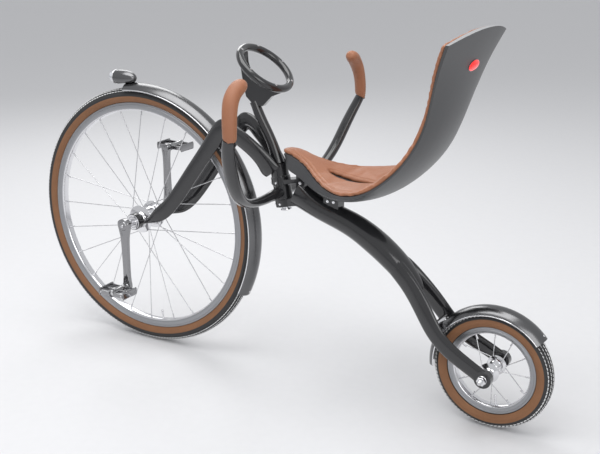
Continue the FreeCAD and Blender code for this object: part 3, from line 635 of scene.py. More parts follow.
def dot():
    """A mesh of one point, for trees that make their own geometry."""
    mesh = bpy.data.meshes.new("dot")
    mesh.from_pydata([(0, 0, 0)], [], [])
    return mesh


def spoke_tree():
    """Laced spokes: four rods with nipples, turned round the axle."""
    number, whole = "NodeSocketFloat", "NodeSocketInt"
    tree, g, given = node_tree("laced_spokes", [
        ("Groups", whole), ("Spoke Radius", number), ("Flange Radius", number), ("Flange Offset", number),
        ("Rim Radius", number), ("Lean", number), ("Nipple Length", number),
        ("Material", "NodeSocketMaterial")])
    pitch = (2.0 * math.pi) / given["Groups"]

    def polar(radius, angle, y):
        x = radius * g.node("ShaderNodeMath", {"operation": "COSINE"}, {0: angle})
        z = radius * g.node("ShaderNodeMath", {"operation": "SINE"}, {0: angle})
        return g.node("ShaderNodeCombineXYZ", {}, {0: x, 1: y, 2: z})

    def rod(begin, end, radius):
        line = g.node("GeometryNodeCurvePrimitiveLine", {}, {"Start": begin, "End": end})
        ring = g.node("GeometryNodeCurvePrimitiveCircle", {}, {"Resolution": 8, "Radius": radius})
        return g.node("GeometryNodeCurveToMesh", {},
                      {"Curve": line, "Profile Curve": ring, "Fill Caps": True})

    join = g.node("GeometryNodeJoinGeometry")
    for place, (side, lean) in enumerate(((1, 1), (-1, 1), (1, -1), (-1, -1))):
        at_rim = pitch * (place / 4.0)
        at_hub = at_rim + given["Lean"] * float(lean)
        foot = polar(given["Flange Radius"], at_hub, given["Flange Offset"] * float(side))
        tip = polar(given["Rim Radius"] + 0.002, at_rim, 0.002 * side)
        seat = polar(given["Rim Radius"] - given["Nipple Length"], at_rim, 0.003 * side)
        head = g.node("GeometryNodeMeshUVSphere", {}, {"Segments": 8, "Rings": 6,
                                                       "Radius": given["Spoke Radius"] * 1.9})
        head = g.node("GeometryNodeTransform", {}, {"Geometry": head, "Translation": foot})
        spoke = rod(foot, tip, given["Spoke Radius"])
        nipple = rod(seat, tip, given["Spoke Radius"] * 1.7)
        for shape in (spoke, nipple, head):
            tree.links.new(shape.socket, join.socket.node.inputs[0])
    dots = g.node("GeometryNodePoints", {}, {"Count": given["Groups"]})
    turn = g.node("ShaderNodeCombineXYZ", {}, {1: g.node("GeometryNodeInputIndex") * pitch})
    spread = g.node("GeometryNodeInstanceOnPoints", {}, {"Points": dots, "Instance": join, "Rotation": turn})
    finish_tree(g, spread, given["Material"])
    return tree


def tread_tree():
    """Rows of tread blocks round a tyre's tread; every other row is half a step on."""
    number, whole = "NodeSocketFloat", "NodeSocketInt"
    tree, g, given = node_tree("tread_blocks", [
        ("Steps", whole), ("Rows", whole), ("Tyre Radius", number), ("Section Radius", number),
        ("Spread", number), ("Depth", number), ("Material", "NodeSocketMaterial")])
    index = g.node("GeometryNodeInputIndex")
    row = g.node("ShaderNodeMath", {"operation": "FLOOR"}, {0: index / given["Steps"]})
    step = index - row * given["Steps"]
    odd = g.node("ShaderNodeMath", {"operation": "MODULO"}, {0: row, 1: 2.0})
    turn = (step + odd * 0.5) * (2.0 * math.pi) / given["Steps"]
    lean = (row / (given["Rows"] - 1.0) - 0.5) * given["Spread"]

    def wave(kind, value):
        return g.node("ShaderNodeMath", {"operation": kind}, {0: value})

    middle = given["Section Radius"] - given["Depth"] * 0.5
    reach = given["Tyre Radius"] - given["Section Radius"] + middle * wave("COSINE", lean)
    spot = g.node("ShaderNodeCombineXYZ", {}, {0: reach * wave("COSINE", turn),
                                               1: middle * wave("SINE", lean),
                                               2: reach * wave("SINE", turn)})
    dots = g.node("GeometryNodePoints", {}, {"Count": given["Steps"] * given["Rows"], "Position": spot})
    length = given["Tyre Radius"] / given["Steps"] * 4.2
    size = g.node("ShaderNodeCombineXYZ", {},
                  {0: given["Depth"], 1: given["Section Radius"] * 0.2, 2: length})
    brick = g.node("GeometryNodeMeshCube", {}, {"Size": size})
    aim = g.node("ShaderNodeCombineXYZ", {}, {0: odd * 0.5 - 0.25, 1: -turn, 2: lean})
    spread = g.node("GeometryNodeInstanceOnPoints", {}, {"Points": dots, "Instance": brick, "Rotation": aim})
    finish_tree(g, spread, given["Material"])
    return tree


def fastener_tree():
    """A bolt head on every point, turned to the point's own axis."""
    tree, g, given = node_tree("bolt_heads", [("Head", "NodeSocketObject"), ("Size", "NodeSocketFloat"),
                                              ("Material", "NodeSocketMaterial")])
    head = g.node("GeometryNodeObjectInfo", {}, {"Object": given["Head"]}, out="Geometry")
    axis = g.node("GeometryNodeInputNamedAttribute", {"data_type": "FLOAT_VECTOR"}, {"Name": "axis"})
    aim = g.node("FunctionNodeAlignRotationToVector", {"axis": "Z"}, {"Vector": axis})
    dots = g.node("GeometryNodeMeshToPoints", {}, {"Mesh": given["Geometry"]})
    spread = g.node("GeometryNodeInstanceOnPoints", {}, {"Points": dots, "Instance": head, "Rotation": aim,
                                                         "Scale": given["Size"]})
    finish_tree(g, spread, given["Material"])
    return tree


def stitch_tree():
    """Short thread stitches at even steps along a curve."""
    number = "NodeSocketFloat"
    tree, g, given = node_tree("seam_stitches", [
        ("Pitch", number), ("Stitch Length", number), ("Thread Radius", number),
        ("Material", "NodeSocketMaterial")])
    seam = g.node("GeometryNodeMeshToCurve", {}, {"Mesh": given["Geometry"]})
    dots = g.node("GeometryNodeCurveToPoints", {"mode": "LENGTH"}, {"Curve": seam, "Length": given["Pitch"]})
    tangent = Value(g, dots.socket.node.outputs["Tangent"])
    aim = g.node("FunctionNodeAlignRotationToVector", {"axis": "Z"}, {"Vector": tangent})
    bead = g.node("GeometryNodeMeshUVSphere", {}, {"Segments": 6, "Rings": 5, "Radius": 1.0})
    scale = g.node("ShaderNodeCombineXYZ", {}, {0: given["Thread Radius"], 1: given["Thread Radius"],
                                                2: given["Stitch Length"] / 2.0})
    bead = g.node("GeometryNodeTransform", {}, {"Geometry": bead, "Scale": scale})
    spread = g.node("GeometryNodeInstanceOnPoints", {}, {"Points": dots, "Instance": bead, "Rotation": aim})
    finish_tree(g, spread, given["Material"])
    return tree


def chain(name, points, closed=False):
    """A line of points as a mesh of edges."""
    mesh = bpy.data.meshes.new(name)
    last = len(points) if closed else len(points) - 1
    mesh.from_pydata(points, [(i, (i + 1) % len(points)) for i in range(last)], [])
    return mesh


def bolt_head(name):
    """A unit button-head bolt with a six-sided socket, pointing along +Z."""
    work = bmesh.new()
    count = 24

    def ring(radius, height, sides=0):
        verts = []
        for i in range(count):
            t = 2 * math.pi * i / count
            r = radius
            if sides:
                step = math.pi / sides
                r = radius * math.cos(step) / math.cos((t % (2 * step)) - step)
            verts.append(work.verts.new((r * math.cos(t), r * math.sin(t), height)))
        return verts

    rings = [ring(1.0, 0.0), ring(1.0, 0.35), ring(0.86, 0.62), ring(0.62, 0.72), ring(0.50, 0.72, 6),
             ring(0.48, 0.30, 6)]
    for lower, upper in zip(rings, rings[1:]):
        for i in range(count):
            k = (i + 1) % count
            work.faces.new((lower[i], lower[k], upper[k], upper[i]))
    work.faces.new(rings[0])
    work.faces.new(rings[-1])
    bmesh.ops.recalc_face_normals(work, faces=work.faces)
    return smooth(as_mesh(work, name), 35.0)


# ---------------------------------------------------------------- places read from the frame

def joint(name):
    """(point, axis) of a joint."""
    found = next(j for j in frame["record"]["behaviour"]["joints"] if j["name"] == name)
    return Vector(found["pos_m"]), Vector(found["axis"]).normalized()


def centre(node):
    """Middle of a node's box."""
    low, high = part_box(node)
    return (Vector(low) + Vector(high)) / 2


def round_axle(hub, radius, degrees, y=0.0):
    """A point at an angle round an axle, 0 ahead and 90 above."""
    t = math.radians(degrees)
    return Vector((hub[0] + radius * math.cos(t), hub[1] + y, hub[2] + radius * math.sin(t)))


def guard_sweep(node, hub):
    """(crown radius, first angle, last angle) of a mudguard, read from its box."""
    low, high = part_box(node)
    if high[0] > hub[0] + (hub[0] - low[0]) * 0.5:
        crown = high[2] - hub[2]
        return crown, -math.degrees(math.asin((hub[2] - low[2]) / crown)), \
            180.0 - math.degrees(math.acos((hub[0] - low[0]) / crown))
    crown = hub[0] - low[0]
    return crown, math.degrees(math.acos((high[0] - hub[0]) / crown)), \
        180.0 + math.degrees(math.asin((hub[2] - low[2]) / crown))


def pad_edge(mesh, shell):
    """Closed lines of points just inside the pad's outer edge and round its slot, on its upper face."""
    work = bmesh.new()
    work.from_mesh(mesh)
    under = surface_of(shell)
    top = {f for f in work.faces if under.find_nearest(f.calc_center_median())[3] > 0.006}
    border = [e for e in work.edges if len(set(e.link_faces) & top) == 1]
    loops, left = [], dict.fromkeys(border)
    while left:
        edge = next(iter(left))
        del left[edge]
        loop = [edge.verts[0], edge.verts[1]]
        while True:
            ahead = next((e for e in loop[-1].link_edges if e in left), None)
            if ahead is None:
                break
            del left[ahead]
            loop.append(ahead.other_vert(loop[-1]))
        if len(loop) > 12:
            loops.append([v.co.copy() for v in loop])
    work.free()
    return sorted(loops, key=len, reverse=True)


# ---------------------------------------------------------------- shared things

PAINT = {}
TREES = {}


def ready():
    """Materials and node trees, made once."""
    if PAINT:
        return
    front, rear = WHEELS
    PAINT.update(
        black=black_lacquer(), shell=satin_shell(), chrome=dark_chrome("bright_chrome", 0.82, 0.05),
        guard=dark_chrome("graphite_polish", 0.17, 0.16), smoke=dark_chrome("smoked_chrome", 0.34, 0.08),
        steel=dark_chrome("drawn_steel", 0.70, 0.16),
        edge=pale_edge(), tread=tread_rubber(), leather=tan_leather(), thread=thread(), rubber=grip_rubber(),
        red=glowing_red(), glass=lamp_glass(),
        front_rim=turned_alloy("front_rim_alloy", FRONT_HUB, front.rim - 0.019),
        rear_rim=turned_alloy("rear_rim_alloy", REAR_HUB, rear.rim - 0.015),
        front_tyre=tyre_rubber("front_tyre_rubber", FRONT_HUB, front.outer - 0.0215, front.rim),
        rear_tyre=tyre_rubber("rear_tyre_rubber", REAR_HUB, rear.outer - 0.0160, rear.rim))
    TREES.update(spokes=spoke_tree(), bolts=fastener_tree(), stitches=stitch_tree(), tread=tread_tree())


def skin(node, paint, body, angle=32.0):
    """A smooth welded copy that stands for a CAD node."""
    return link(node + "_skin", smooth(merged(node), angle), paint, body, [node])


def bolts(name, body, places, size, paint):
    """Bolt heads at (point, axis) places."""
    head = bpy.data.objects.new("head_" + name, bolt_head("head_" + name))
    bpy.context.scene.collection.objects.link(head)
    mesh = bpy.data.meshes.new(name + "_points")
    mesh.from_pydata([p for p, _ in places], [], [])
    axis = mesh.attributes.new("axis", "FLOAT_VECTOR", "POINT")
    for item, (_, direction) in zip(axis.data, places):
        item.vector = direction
    made = run_tree(name, TREES["bolts"], mesh, {"Head": head, "Size": size, "Material": paint})
    bpy.data.objects.remove(head)
    return link(name, smooth(made, 35.0), None, body)


def stitches(name, body, points, closed, surface, sizes):
    """A row of stitches laid on a surface along a line."""
    tree = surface_of(surface)
    laid = []
    for point in points:
        spot, normal, _, _ = tree.find_nearest(point)
        laid.append(spot + normal * sizes.thread_size * 0.35)
    made = run_tree(name, TREES["stitches"], chain(name, laid, closed),
                    {"Pitch": sizes.stitch_pitch, "Stitch Length": sizes.stitch_pitch * 0.72,
                     "Thread Radius": sizes.thread_size, "Material": PAINT["thread"]})
    made.shade_smooth()
    return link(name, made, None, body)


# ---------------------------------------------------------------- parts of the bicycle

def tyre(wheel, sizes):
    """A tyre: ribbed casing with moulded side walls, and tread blocks."""
    node = wheel.name + "_tyre"
    half = span(node, 1) / 2
    middle = wheel.outer - half
    lip = math.degrees(math.acos((wheel.rim - middle) / half)) - 0.3
    points = 120
    shell = []
    for i in range(points + 1):
        turn = -lip + 2 * lip * i / points
        sunk = 0.0
        if abs(turn) < 62:
            centre_rib = 0.0006 if abs(turn) < 7 else 0.0
            sunk = sizes.tread_depth - centre_rib
        mould = 0.00035 * math.cos(math.radians(turn * 14)) if 66 < abs(turn) < 100 else 0.0
        shell.append((turn, half - sunk - 0.0003 + mould))
    inner = [(turn, half * 0.83) for turn, _ in reversed(shell[8:-8:6])]
    outline = [(middle + r * math.cos(math.radians(turn)), r * math.sin(math.radians(turn)))
               for turn, r in shell + inner]
    casing = lathe(node + "_casing", outline, wheel.hub, wheel.steps, angle=50.0)
    casing.materials.append(PAINT[node])
    blocks = run_tree(node + "_blocks", TREES["tread"], dot(),
                      {"Steps": int(2 * math.pi * wheel.outer / sizes.tread_pitch), "Rows": 6,
                       "Tyre Radius": wheel.outer, "Section Radius": half, "Spread": math.radians(104),
                       "Depth": sizes.tread_depth * 1.4, "Material": PAINT["tread"]})
    blocks.transform(Matrix.Translation(wheel.hub))
    link(node + "_tread", joined(node + "_tread", [casing, blocks]), None, wheel.name + "_wheel",
         [node])


def rim(wheel):
    """A hollow-section rim with brake bands, and the valve stem."""
    node = wheel.name + "_rim"
    half = span(node, 1) / 2
    edge, inner = wheel.rim, wheel.rim - wheel.rim_depth
    side = [(inner, 0.30), (inner + 0.0004, 0.5), (inner + 0.0018, 0.72), (inner + 0.005, 0.92),
            (inner + 0.009, 0.985), (edge - 0.0066, 1.0), (edge - 0.006, 0.955), (edge - 0.0046, 0.955),
            (edge - 0.004, 1.0), (edge - 0.0012, 1.0), (edge, 0.93)]
    outline = mirrored([(r, -share * half) for r, share in side])
    ring = lathe(node + "_ring", outline, wheel.hub, wheel.steps)
    ring.materials.append(PAINT[node])
    inward = (Vector(wheel.hub) - round_axle(wheel.hub, 1.0, VALVE_ANGLE)).normalized()
    foot = round_axle(wheel.hub, inner + 0.001, VALVE_ANGLE)
    stem = turned("stem", [(CORE, -0.001), (0.0034, -0.001), (0.0034, 0.001), (0.0024, 0.0016),
                           (0.0024, 0.014), (0.0031, 0.0145), (0.0031, 0.023), (0.0024, 0.0245),
                           (CORE, 0.0245)], foot, inward, 20)
    stem.materials.append(PAINT["chrome"])
    link(node + "_ring", joined(node + "_ring", [ring, stem]), None, wheel.name + "_wheel", [node])


def hub_and_spokes(wheel, sizes, groups, lean):
    """A hub shell with two flanges, laced to the rim."""
    node, body = wheel.name + "_hub", wheel.name + "_wheel"
    wide, flange = span(node, 1) / 2, span(node, 0) / 2
    at = wide * wheel.flange_share
    bore = span(wheel.name + "_axle", 0) / 2 + PLAY
    shell = flange * wheel.shell_share
    neck = max(bore + 0.0022, shell * 0.8)
    side = [(bore, wide), (neck - 0.0012, wide), (neck, wide - 0.0012), (neck, at + 0.0062),
            (neck + 0.0012, at + 0.0048), (shell * 1.03, at + 0.0036), (flange - 0.0014, at + 0.0016),
            (flange, at + 0.0009), (flange, at - 0.0009), (flange - 0.0014, at - 0.0016),
            (shell * 1.06, at - 0.003), (shell, at - 0.0062), (shell * 0.985, at * 0.55),
            (shell * 1.012, at * 0.52), (shell * 1.012, at * 0.44), (shell * 0.985, at * 0.41),
            (shell * 0.97, 0.001)]
    link(node + "_shell", lathe(node + "_shell", mirrored(side), wheel.hub, 96), PAINT["chrome"], body,
         [node])
    mesh = run_tree(wheel.name + "_laced", TREES["spokes"], dot(),
                    {"Groups": groups, "Spoke Radius": sizes.spoke_radius,
                     "Flange Radius": flange - 0.0032, "Flange Offset": at,
                     "Rim Radius": wheel.rim - wheel.rim_depth, "Lean": lean,
                     "Nipple Length": sizes.nipple_length, "Material": PAINT["steel"]})
    mesh.transform(Matrix.Translation(wheel.hub))
    mesh.shade_smooth()
    link(wheel.name + "_laced_spokes", mesh, None, body, [wheel.name + "_spokes"])


def front_axle():
    """The hollow front axle, which the crank spindle runs through."""
    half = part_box("front_axle")[1][1]
    bore = span("crank_spindle", 0) / 2 + PLAY
    side = [(bore, half), (0.0125, half), (0.0138, half - 0.0012), (0.0138, half - 0.0042),
            (0.0124, half - 0.005), (0.0124, half - 0.0072), (0.0140, half - 0.008), (0.0140, 0.001)]
    link("front_axle_tube", lathe("front_axle_tube", mirrored(side), FRONT_HUB, 64), PAINT["chrome"],
         "steering", ["front_axle"])


def rear_axle():
    """The rear axle rod with threaded ends."""
    half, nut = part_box("rear_axle")[1][1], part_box("rear_nut_left")[1][1]
    turns = 9
    threads = []
    for i in range(turns):
        y = nut + (half - nut) * (i / turns)
        threads += [(0.005, y + 0.0002), (0.0045, y + 0.0008)]
    side = [(CORE, half), (0.0038, half), (0.0046, half - 0.001)] + threads[::-1] + [(0.006, nut)]
    link("rear_axle_rod", lathe("rear_axle_rod", mirrored(side), REAR_HUB, 40), PAINT["steel"], "frame",
         ["rear_axle"])


def rear_nut(node, sign):
    """A six-sided axle nut on its washer."""
    low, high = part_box(node)
    across = (high[0] - low[0]) / 2
    hexagon = [(REAR_HUB[0] + across * math.cos(math.radians(60 * i)),
                REAR_HUB[2] + across * math.sin(math.radians(60 * i))) for i in range(6)]
    nut = plate(node + "_hex", hexagon, low[1] + WASHER * (sign > 0), high[1] - WASHER * (sign < 0), 0.0011)
    flat = low[1] if sign > 0 else high[1]
    disc = [(0.0061, flat), (0.0105, flat), (0.0109, flat + sign * 0.0006),
            (0.0109, flat + sign * 0.0016), (0.0103, flat + sign * WASHER), (0.0061, flat + sign * WASHER)]
    washer = lathe(node + "_washer", disc, REAR_HUB, 48)
    for mesh in (nut, washer):
        mesh.materials.append(PAINT["chrome"])
    link(node + "_hex", joined(node + "_hex", [nut, washer]), None, "frame", [node])


def mudguard(wheel, rivet):
    """A mudguard with rolled edges, its bridge and rivets."""
    node, body, hub = wheel.name + "_mudguard", wheel.holder, wheel.hub
    skin(node, PAINT["guard"], body, 30.0)
    crown, first, last = guard_sweep(node, hub)
    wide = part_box(node)[1][1]
    lip = crown - 0.0166
    count = int((last - first) / 1.5)
    line = [round_axle(hub, lip, first + 0.4 + (last - first - 0.8) * i / count, -wide + 0.0012)
            for i in range(count + 1)]
    far = [Vector((p.x, -p.y, p.z)) for p in reversed(line)]
    beads = joined(node + "_beads", [hose(node + "_bead", side, 0.0015, 10) for side in (line, far)])
    link(node + "_beads", beads, PAINT["chrome"], body)
    bridge = wheel.name + "_guard_bridge"
    skin(bridge, PAINT["chrome"], body)
    away = centre(bridge) - Vector(hub)
    angle = math.degrees(math.atan2(away.z, away.x))
    places = []
    for turn in (-4.2, 4.2):
        for y in (-0.007, 0.007):
            spot = round_axle(hub, crown - 0.0009, angle + turn * (0.362 / crown) ** 0.6, y)
            places.append((spot, (spot - Vector((hub[0], y, hub[2]))).normalized()))
    inset = 3.0 * 0.2 / crown
    for end in (first + inset, last - inset):
        spot = round_axle(hub, crown - 0.0003, end)
        places.append((spot, (spot - Vector(hub)).normalized()))
    bolts(wheel.name + "_guard_rivets", body, places, rivet, PAINT["chrome"])


def along_pivot(node, foot, axis):
    """How far up the steering axis a node's middle is."""
    return (centre(node) - foot).dot(axis)


def lug_bolts(size):
    """Pinch bolts round both head lugs."""
    foot, axis = joint("steering_turn")
    forward = Vector((axis.z, 0.0, -axis.x))
    places = []
    for node in ("head_lug_lower", "head_lug_upper"):
        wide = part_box(node)[1][1]
        ring = foot + axis * along_pivot(node, foot, axis)
        for turn in (-38, 38, -90, 90):
            out = forward * math.cos(math.radians(turn)) + LEFTWARD * math.sin(math.radians(turn))
            places.append((ring + out * (wide - 0.0004), out))
    bolts("lug_bolts", "frame", places, size, PAINT["chrome"])


def seat_bolts(size):
    """Bolts through both sides of the seat's mounts."""
    places = []
    for node, shares in (("seat_mount_front", (0.5,)), ("seat_mount_rear", (0.3, 0.7))):
        low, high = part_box(node)
        for y, out in ((low[1], -1.0), (high[1], 1.0)):
            for share in shares:
                spot = Vector((low[0] + (high[0] - low[0]) * share, y, low[2] + (high[2] - low[2]) * 0.52))
                places.append((spot, Vector((0, out, 0))))
    bolts("seat_bolts", "frame", places, size, PAINT["chrome"])


def head_washers():
    """Thin washers on the faces of the head lugs."""
    foot, axis = joint("steering_turn")
    half_lug = 0.009
    outline = [(0.0092, 0.0), (0.0226, 0.0), (0.0229, 0.0003), (0.0226, 0.0006), (0.0092, 0.0006)]
    rings = []
    for node, end in (("head_lug_lower", 1), ("head_lug_upper", -1), ("head_lug_upper", 1)):
        face = foot + axis * (along_pivot(node, foot, axis) + end * half_lug)
        rings.append(turned("head_washer", outline, face, axis * end, 72))
    link("head_washers", joined("head_washers", rings), PAINT["chrome"], "frame")


def pivot_nut():
    """The nut under the pivot pin."""
    foot, axis = joint("steering_turn")
    outline = [(CORE, 0.0), (0.0128, 0.0), (0.0136, 0.0012), (0.0136, 0.0036), (0.0118, 0.0052),
               (0.0062, 0.0056), (0.0056, 0.0042), (CORE, 0.0042)]
    nut = turned("pivot_nut", outline, foot - axis * 0.004, -axis, 48)
    link("pivot_nut", nut, PAINT["chrome"], "steering")


def steering_bolts(size):
    """Screws on the sleeve and the crown, and round the display ring."""
    foot, axis = joint("steering_turn")
    forward = Vector((axis.z, 0.0, -axis.x))
    places = []
    for node in ("bar_sleeve", "fork_crown"):
        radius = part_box(node)[1][1]
        height = along_pivot(node, foot, axis)
        for lift in (-0.008, 0.008):
            places.append((foot + axis * (height + lift) + forward * (radius - 0.0005), forward))
    ring = centre("display_ring")
    tilt = Vector(next(m for m in frame["record"]["mounts"] if m["name"] == "display_holder")["axis"])
    across = LEFTWARD.cross(tilt).normalized()
    tube = 0.0095
    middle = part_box("display_ring")[1][1] - tube
    for turn in range(30, 390, 60):
        t = math.radians(turn)
        out = across * math.cos(t) + LEFTWARD * math.sin(t)
        places.append((ring + out * middle + tilt * (tube - 0.0005), tilt))
    bolts("steering_bolts", "steering", places, size, PAINT["chrome"])


def leg_collar(name, sign):
    """A collar outside a fork leg, round the front axle."""
    low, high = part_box("fork_leg_" + name)
    outer = max(abs(low[1]), abs(high[1])) * sign
    outline = [(0.0143, 0.0), (0.0200, 0.0), (0.0206, 0.0006), (0.0206, 0.0014), (0.0196, 0.0021),
               (0.0160, 0.0021), (0.0152, 0.0012), (0.0143, 0.0012)]
    collar = turned("leg_collar_" + name, outline, Vector(FRONT_HUB) + Vector((0, outer, 0)),
                    (0, sign, 0), 64)
    link("leg_collar_" + name, collar, PAINT["chrome"], "steering")


def seat_shell():
    """The moulded shell with a painted highlight, a paler grey, along its arched top; returns its mesh."""
    shell = merged("seat_shell")
    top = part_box("seat_shell")[1][2]
    shell.materials.append(PAINT["shell"])
    # second slot: the painted highlight material for the top edge
    shell.materials.append(PAINT["edge"])
    # faces near the arched top take slot 1, the painted highlight
    arch = 0.669
    for face in shell.polygons:
        rise = face.center.z - (top - arch + math.sqrt(arch ** 2 - face.center.y ** 2))
        face.material_index = int(rise > -0.0012)
    link("seat_shell_skin", smooth(shell, 40.0), None, "frame", ["seat_shell"])
    return shell


def seam_beside(loop, reach, pad_surface, shell_surface):
    """A line on the pad's cover, beside a closed line of edge points."""
    loop = evened(loop, 12)
    line = []
    for i, point in enumerate(loop):
        along = (loop[(i + 3) % len(loop)] - loop[i - 3]).normalized()
        up = (point - shell_surface.find_nearest(point)[0]).normalized()
        inward = up.cross(along).normalized()
        spots = [point + inward * reach * way for way in (1, -1)]
        best = min(spots, key=lambda spot: pad_surface.find_nearest(spot + up * 0.004)[3])
        line.append(pad_surface.find_nearest(best + up * 0.006)[0])
    return evened(line, 6)


def seat_pad(shell, sizes):
    """The swollen leather pad with sewn channels and stitches round its edge and its slot."""
    under = surface_of(shell)

    def resting(point):
        return 1.0 if under.find_nearest(point)[3] < 0.0035 else 0.0

    swollen = stuffed("seat_pad", merged("seat_pad"), sizes.cell, PAD_CAP, resting)
    loops = pad_edge(swollen, shell)
    pad = subdivided(relaxed(swollen, 3, resting))
    cover = surface_of(pad)
    lines = [seam_beside(loop, reach, cover, under)
             for loop, reach in zip(loops, (sizes.seam_inset, sizes.seam_inset * 0.8))]
    fine = []
    for line in lines:
        fine += [a.lerp(b, k / 4) for a, b in zip(line, line[1:] + line[:1]) for k in range(4)]
    pad = grooved(pad, fine, sizes.seam_depth, 0.0022)
    pad.shade_smooth()
    piece = link("seat_pad_leather", pad, PAINT["leather"], "frame", ["seat_pad"])
    for number, line in enumerate(lines):
        stitches(f"seat_stitches_{number}", "frame", line, True, pad, sizes)


def foot_ring(tree, low, high, height):
    """Points round a grip's foot at one height."""
    line = []
    middle = Vector(((low.x + high.x) / 2, 0.0, height))
    middle.y = (0.301 / 0.3142) * (high.y if high.y > 0 else low.y)
    for i in range(48):
        t = math.radians(i * 7.5)
        way = Vector((math.cos(t), math.sin(t), 0.0))
        hit = tree.ray_cast(middle + way * 0.05, -way)[0]
        if hit is not None:
            line.append(hit)
    return line


def grip_seam(tree, low, high, sign):
    """The seam line up the back of a grip, found by rays at shares of its box."""
    seam = []
    near = abs(low.y if sign > 0 else high.y)
    for y, z in ((0.82, 0.03), (0.82, 0.13), (0.81, 0.31), (0.76, 0.49), (0.64, 0.66), (0.44, 0.8),
                 (0.22, 0.88)):
        spot = Vector((low.x - 0.03, sign * (near + y * (high.y - low.y)), low.z + z * (high.z - low.z)))
        hit = tree.ray_cast(spot, Vector((1, 0, 0)))[0]
        if hit is not None:
            seam.append(hit)
    fine = [a.lerp(b, k / 24) for a, b in zip(seam, seam[1:]) for k in range(24)]
    return [tree.find_nearest(p)[0] for p in fine]


def grip(name, sign, sizes):
    """A leather grip sewn up its back, with a rubber collar at its foot."""
    node = "grip_" + name
    low, high = (Vector(c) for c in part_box(node))
    foot = low.z + 0.004

    def held(point):
        return 1.0 if point.z < foot else 0.0

    body = stuffed(node, merged(node), GRIP_CELL, GRIP_CAP, held, 1.5)
    body = subdivided(relaxed(body, 4, held))
    tree = surface_of(body)
    seam = grip_seam(tree, low, high, sign)
    body = grooved(body, seam, 0.0009, 0.0012)
    body.shade_smooth()
    piece = link(node + "_leather", body, PAINT["leather"], "steering", [node])
    for number, shift in enumerate((-0.0028, 0.0028)):
        row = []
        for k, point in enumerate(seam):
            share = k / len(seam)
            aside = Vector((-0.002, shift * (1 - share), shift * share))
            row.append(tree.find_nearest(point + aside)[0])
        stitches(f"{node}_stitches_{number}", "steering", row, False, body, sizes)
    ring = hose(node + "_collar", foot_ring(tree, low, high, foot - 0.002), 0.0016, 10, closed=True)
    link(node + "_collar", ring, PAINT["rubber"], "steering")


def crank_spindle():
    """The spindle through the front axle."""
    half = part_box("crank_spindle")[1][1]
    side = [(CORE, half - 0.0015), (0.0068, half - 0.0015), (0.0074, half - 0.0006),
            (0.0089, half - 0.0006), (0.0089, 0.001)]
    link("crank_spindle_rod", lathe("crank_spindle_rod", mirrored(side), FRONT_HUB, 48), PAINT["steel"],
         "crankset", ["crank_spindle"])


def crank_arm(name, sign, pin):
    """A tapered arm with a sunk panel and a cap over each end; returns its bolt's place."""
    hub = FRONT_HUB
    down = 1.0 if pin.z > hub[2] else -1.0
    length = abs(pin.z - hub[2])
    left_low, left_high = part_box("crank_arm_left")
    inner, outer = left_low[1] * sign, left_high[1] * sign
    half = [(0.008, -0.0180), (0.0186, -0.010), (0.0190, 0.0), (0.0150, 0.0150), (0.0108, 0.034),
            (0.0092, 0.085), (0.0086, 0.130), (0.0098, length - 0.016), (0.0128, length - 0.003),
            (0.0105, length + 0.009), (0.004, length + 0.0126)]
    outline = half + [(-x, z) for x, z in reversed(half)]
    spots = [(hub[0] + x, hub[2] + down * z) for x, z in rounded(outline, 2)]
    arm = plate(f"crank_{name}_arm", spots, *sorted((inner, outer)), 0.0034, 0.0012)
    cap = [(CORE, 0.0012), (0.0112, 0.0012), (0.0124, 0.0), (0.0128, -0.0016), (0.0128, -0.0030),
           (CORE, -0.0030)]
    boss = turned(f"crank_{name}_cap", cap, (hub[0], outer, hub[2]), (0, sign, 0), 48)
    small = [(r * 0.72, h) for r, h in cap]
    eye = turned(f"crank_{name}_eye", small, (pin.x, outer, pin.z), (0, sign, 0), 40)
    for mesh in (arm, boss, eye):
        mesh.materials.append(PAINT["smoke"])
    link(f"crank_{name}_tapered", joined(f"crank_{name}_tapered", [arm, boss, eye]), None, "crankset",
         [f"crank_arm_{name}"])
    return Vector((hub[0], outer + sign * 0.0010, hub[2])), Vector((0, sign, 0))


def pedal_pin(name, sign, pin):
    """The pin that a pedal turns on."""
    node = f"pedal_pin_{name}"
    low, high = (Vector(c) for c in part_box(node))
    near, far = (low.y, high.y) if sign > 0 else (high.y, low.y)
    length = abs(far - near)
    outline = [(CORE, 0.0), (0.0068, 0.0), (0.0070, 0.0006), (0.0070, length - 0.001), (0.0062, length),
               (CORE, length)]
    rod = turned(node + "_rod", outline, (pin.x, near, pin.z), (0, sign, 0), 40)
    link(node + "_rod", rod, PAINT["steel"], "crankset", [node])


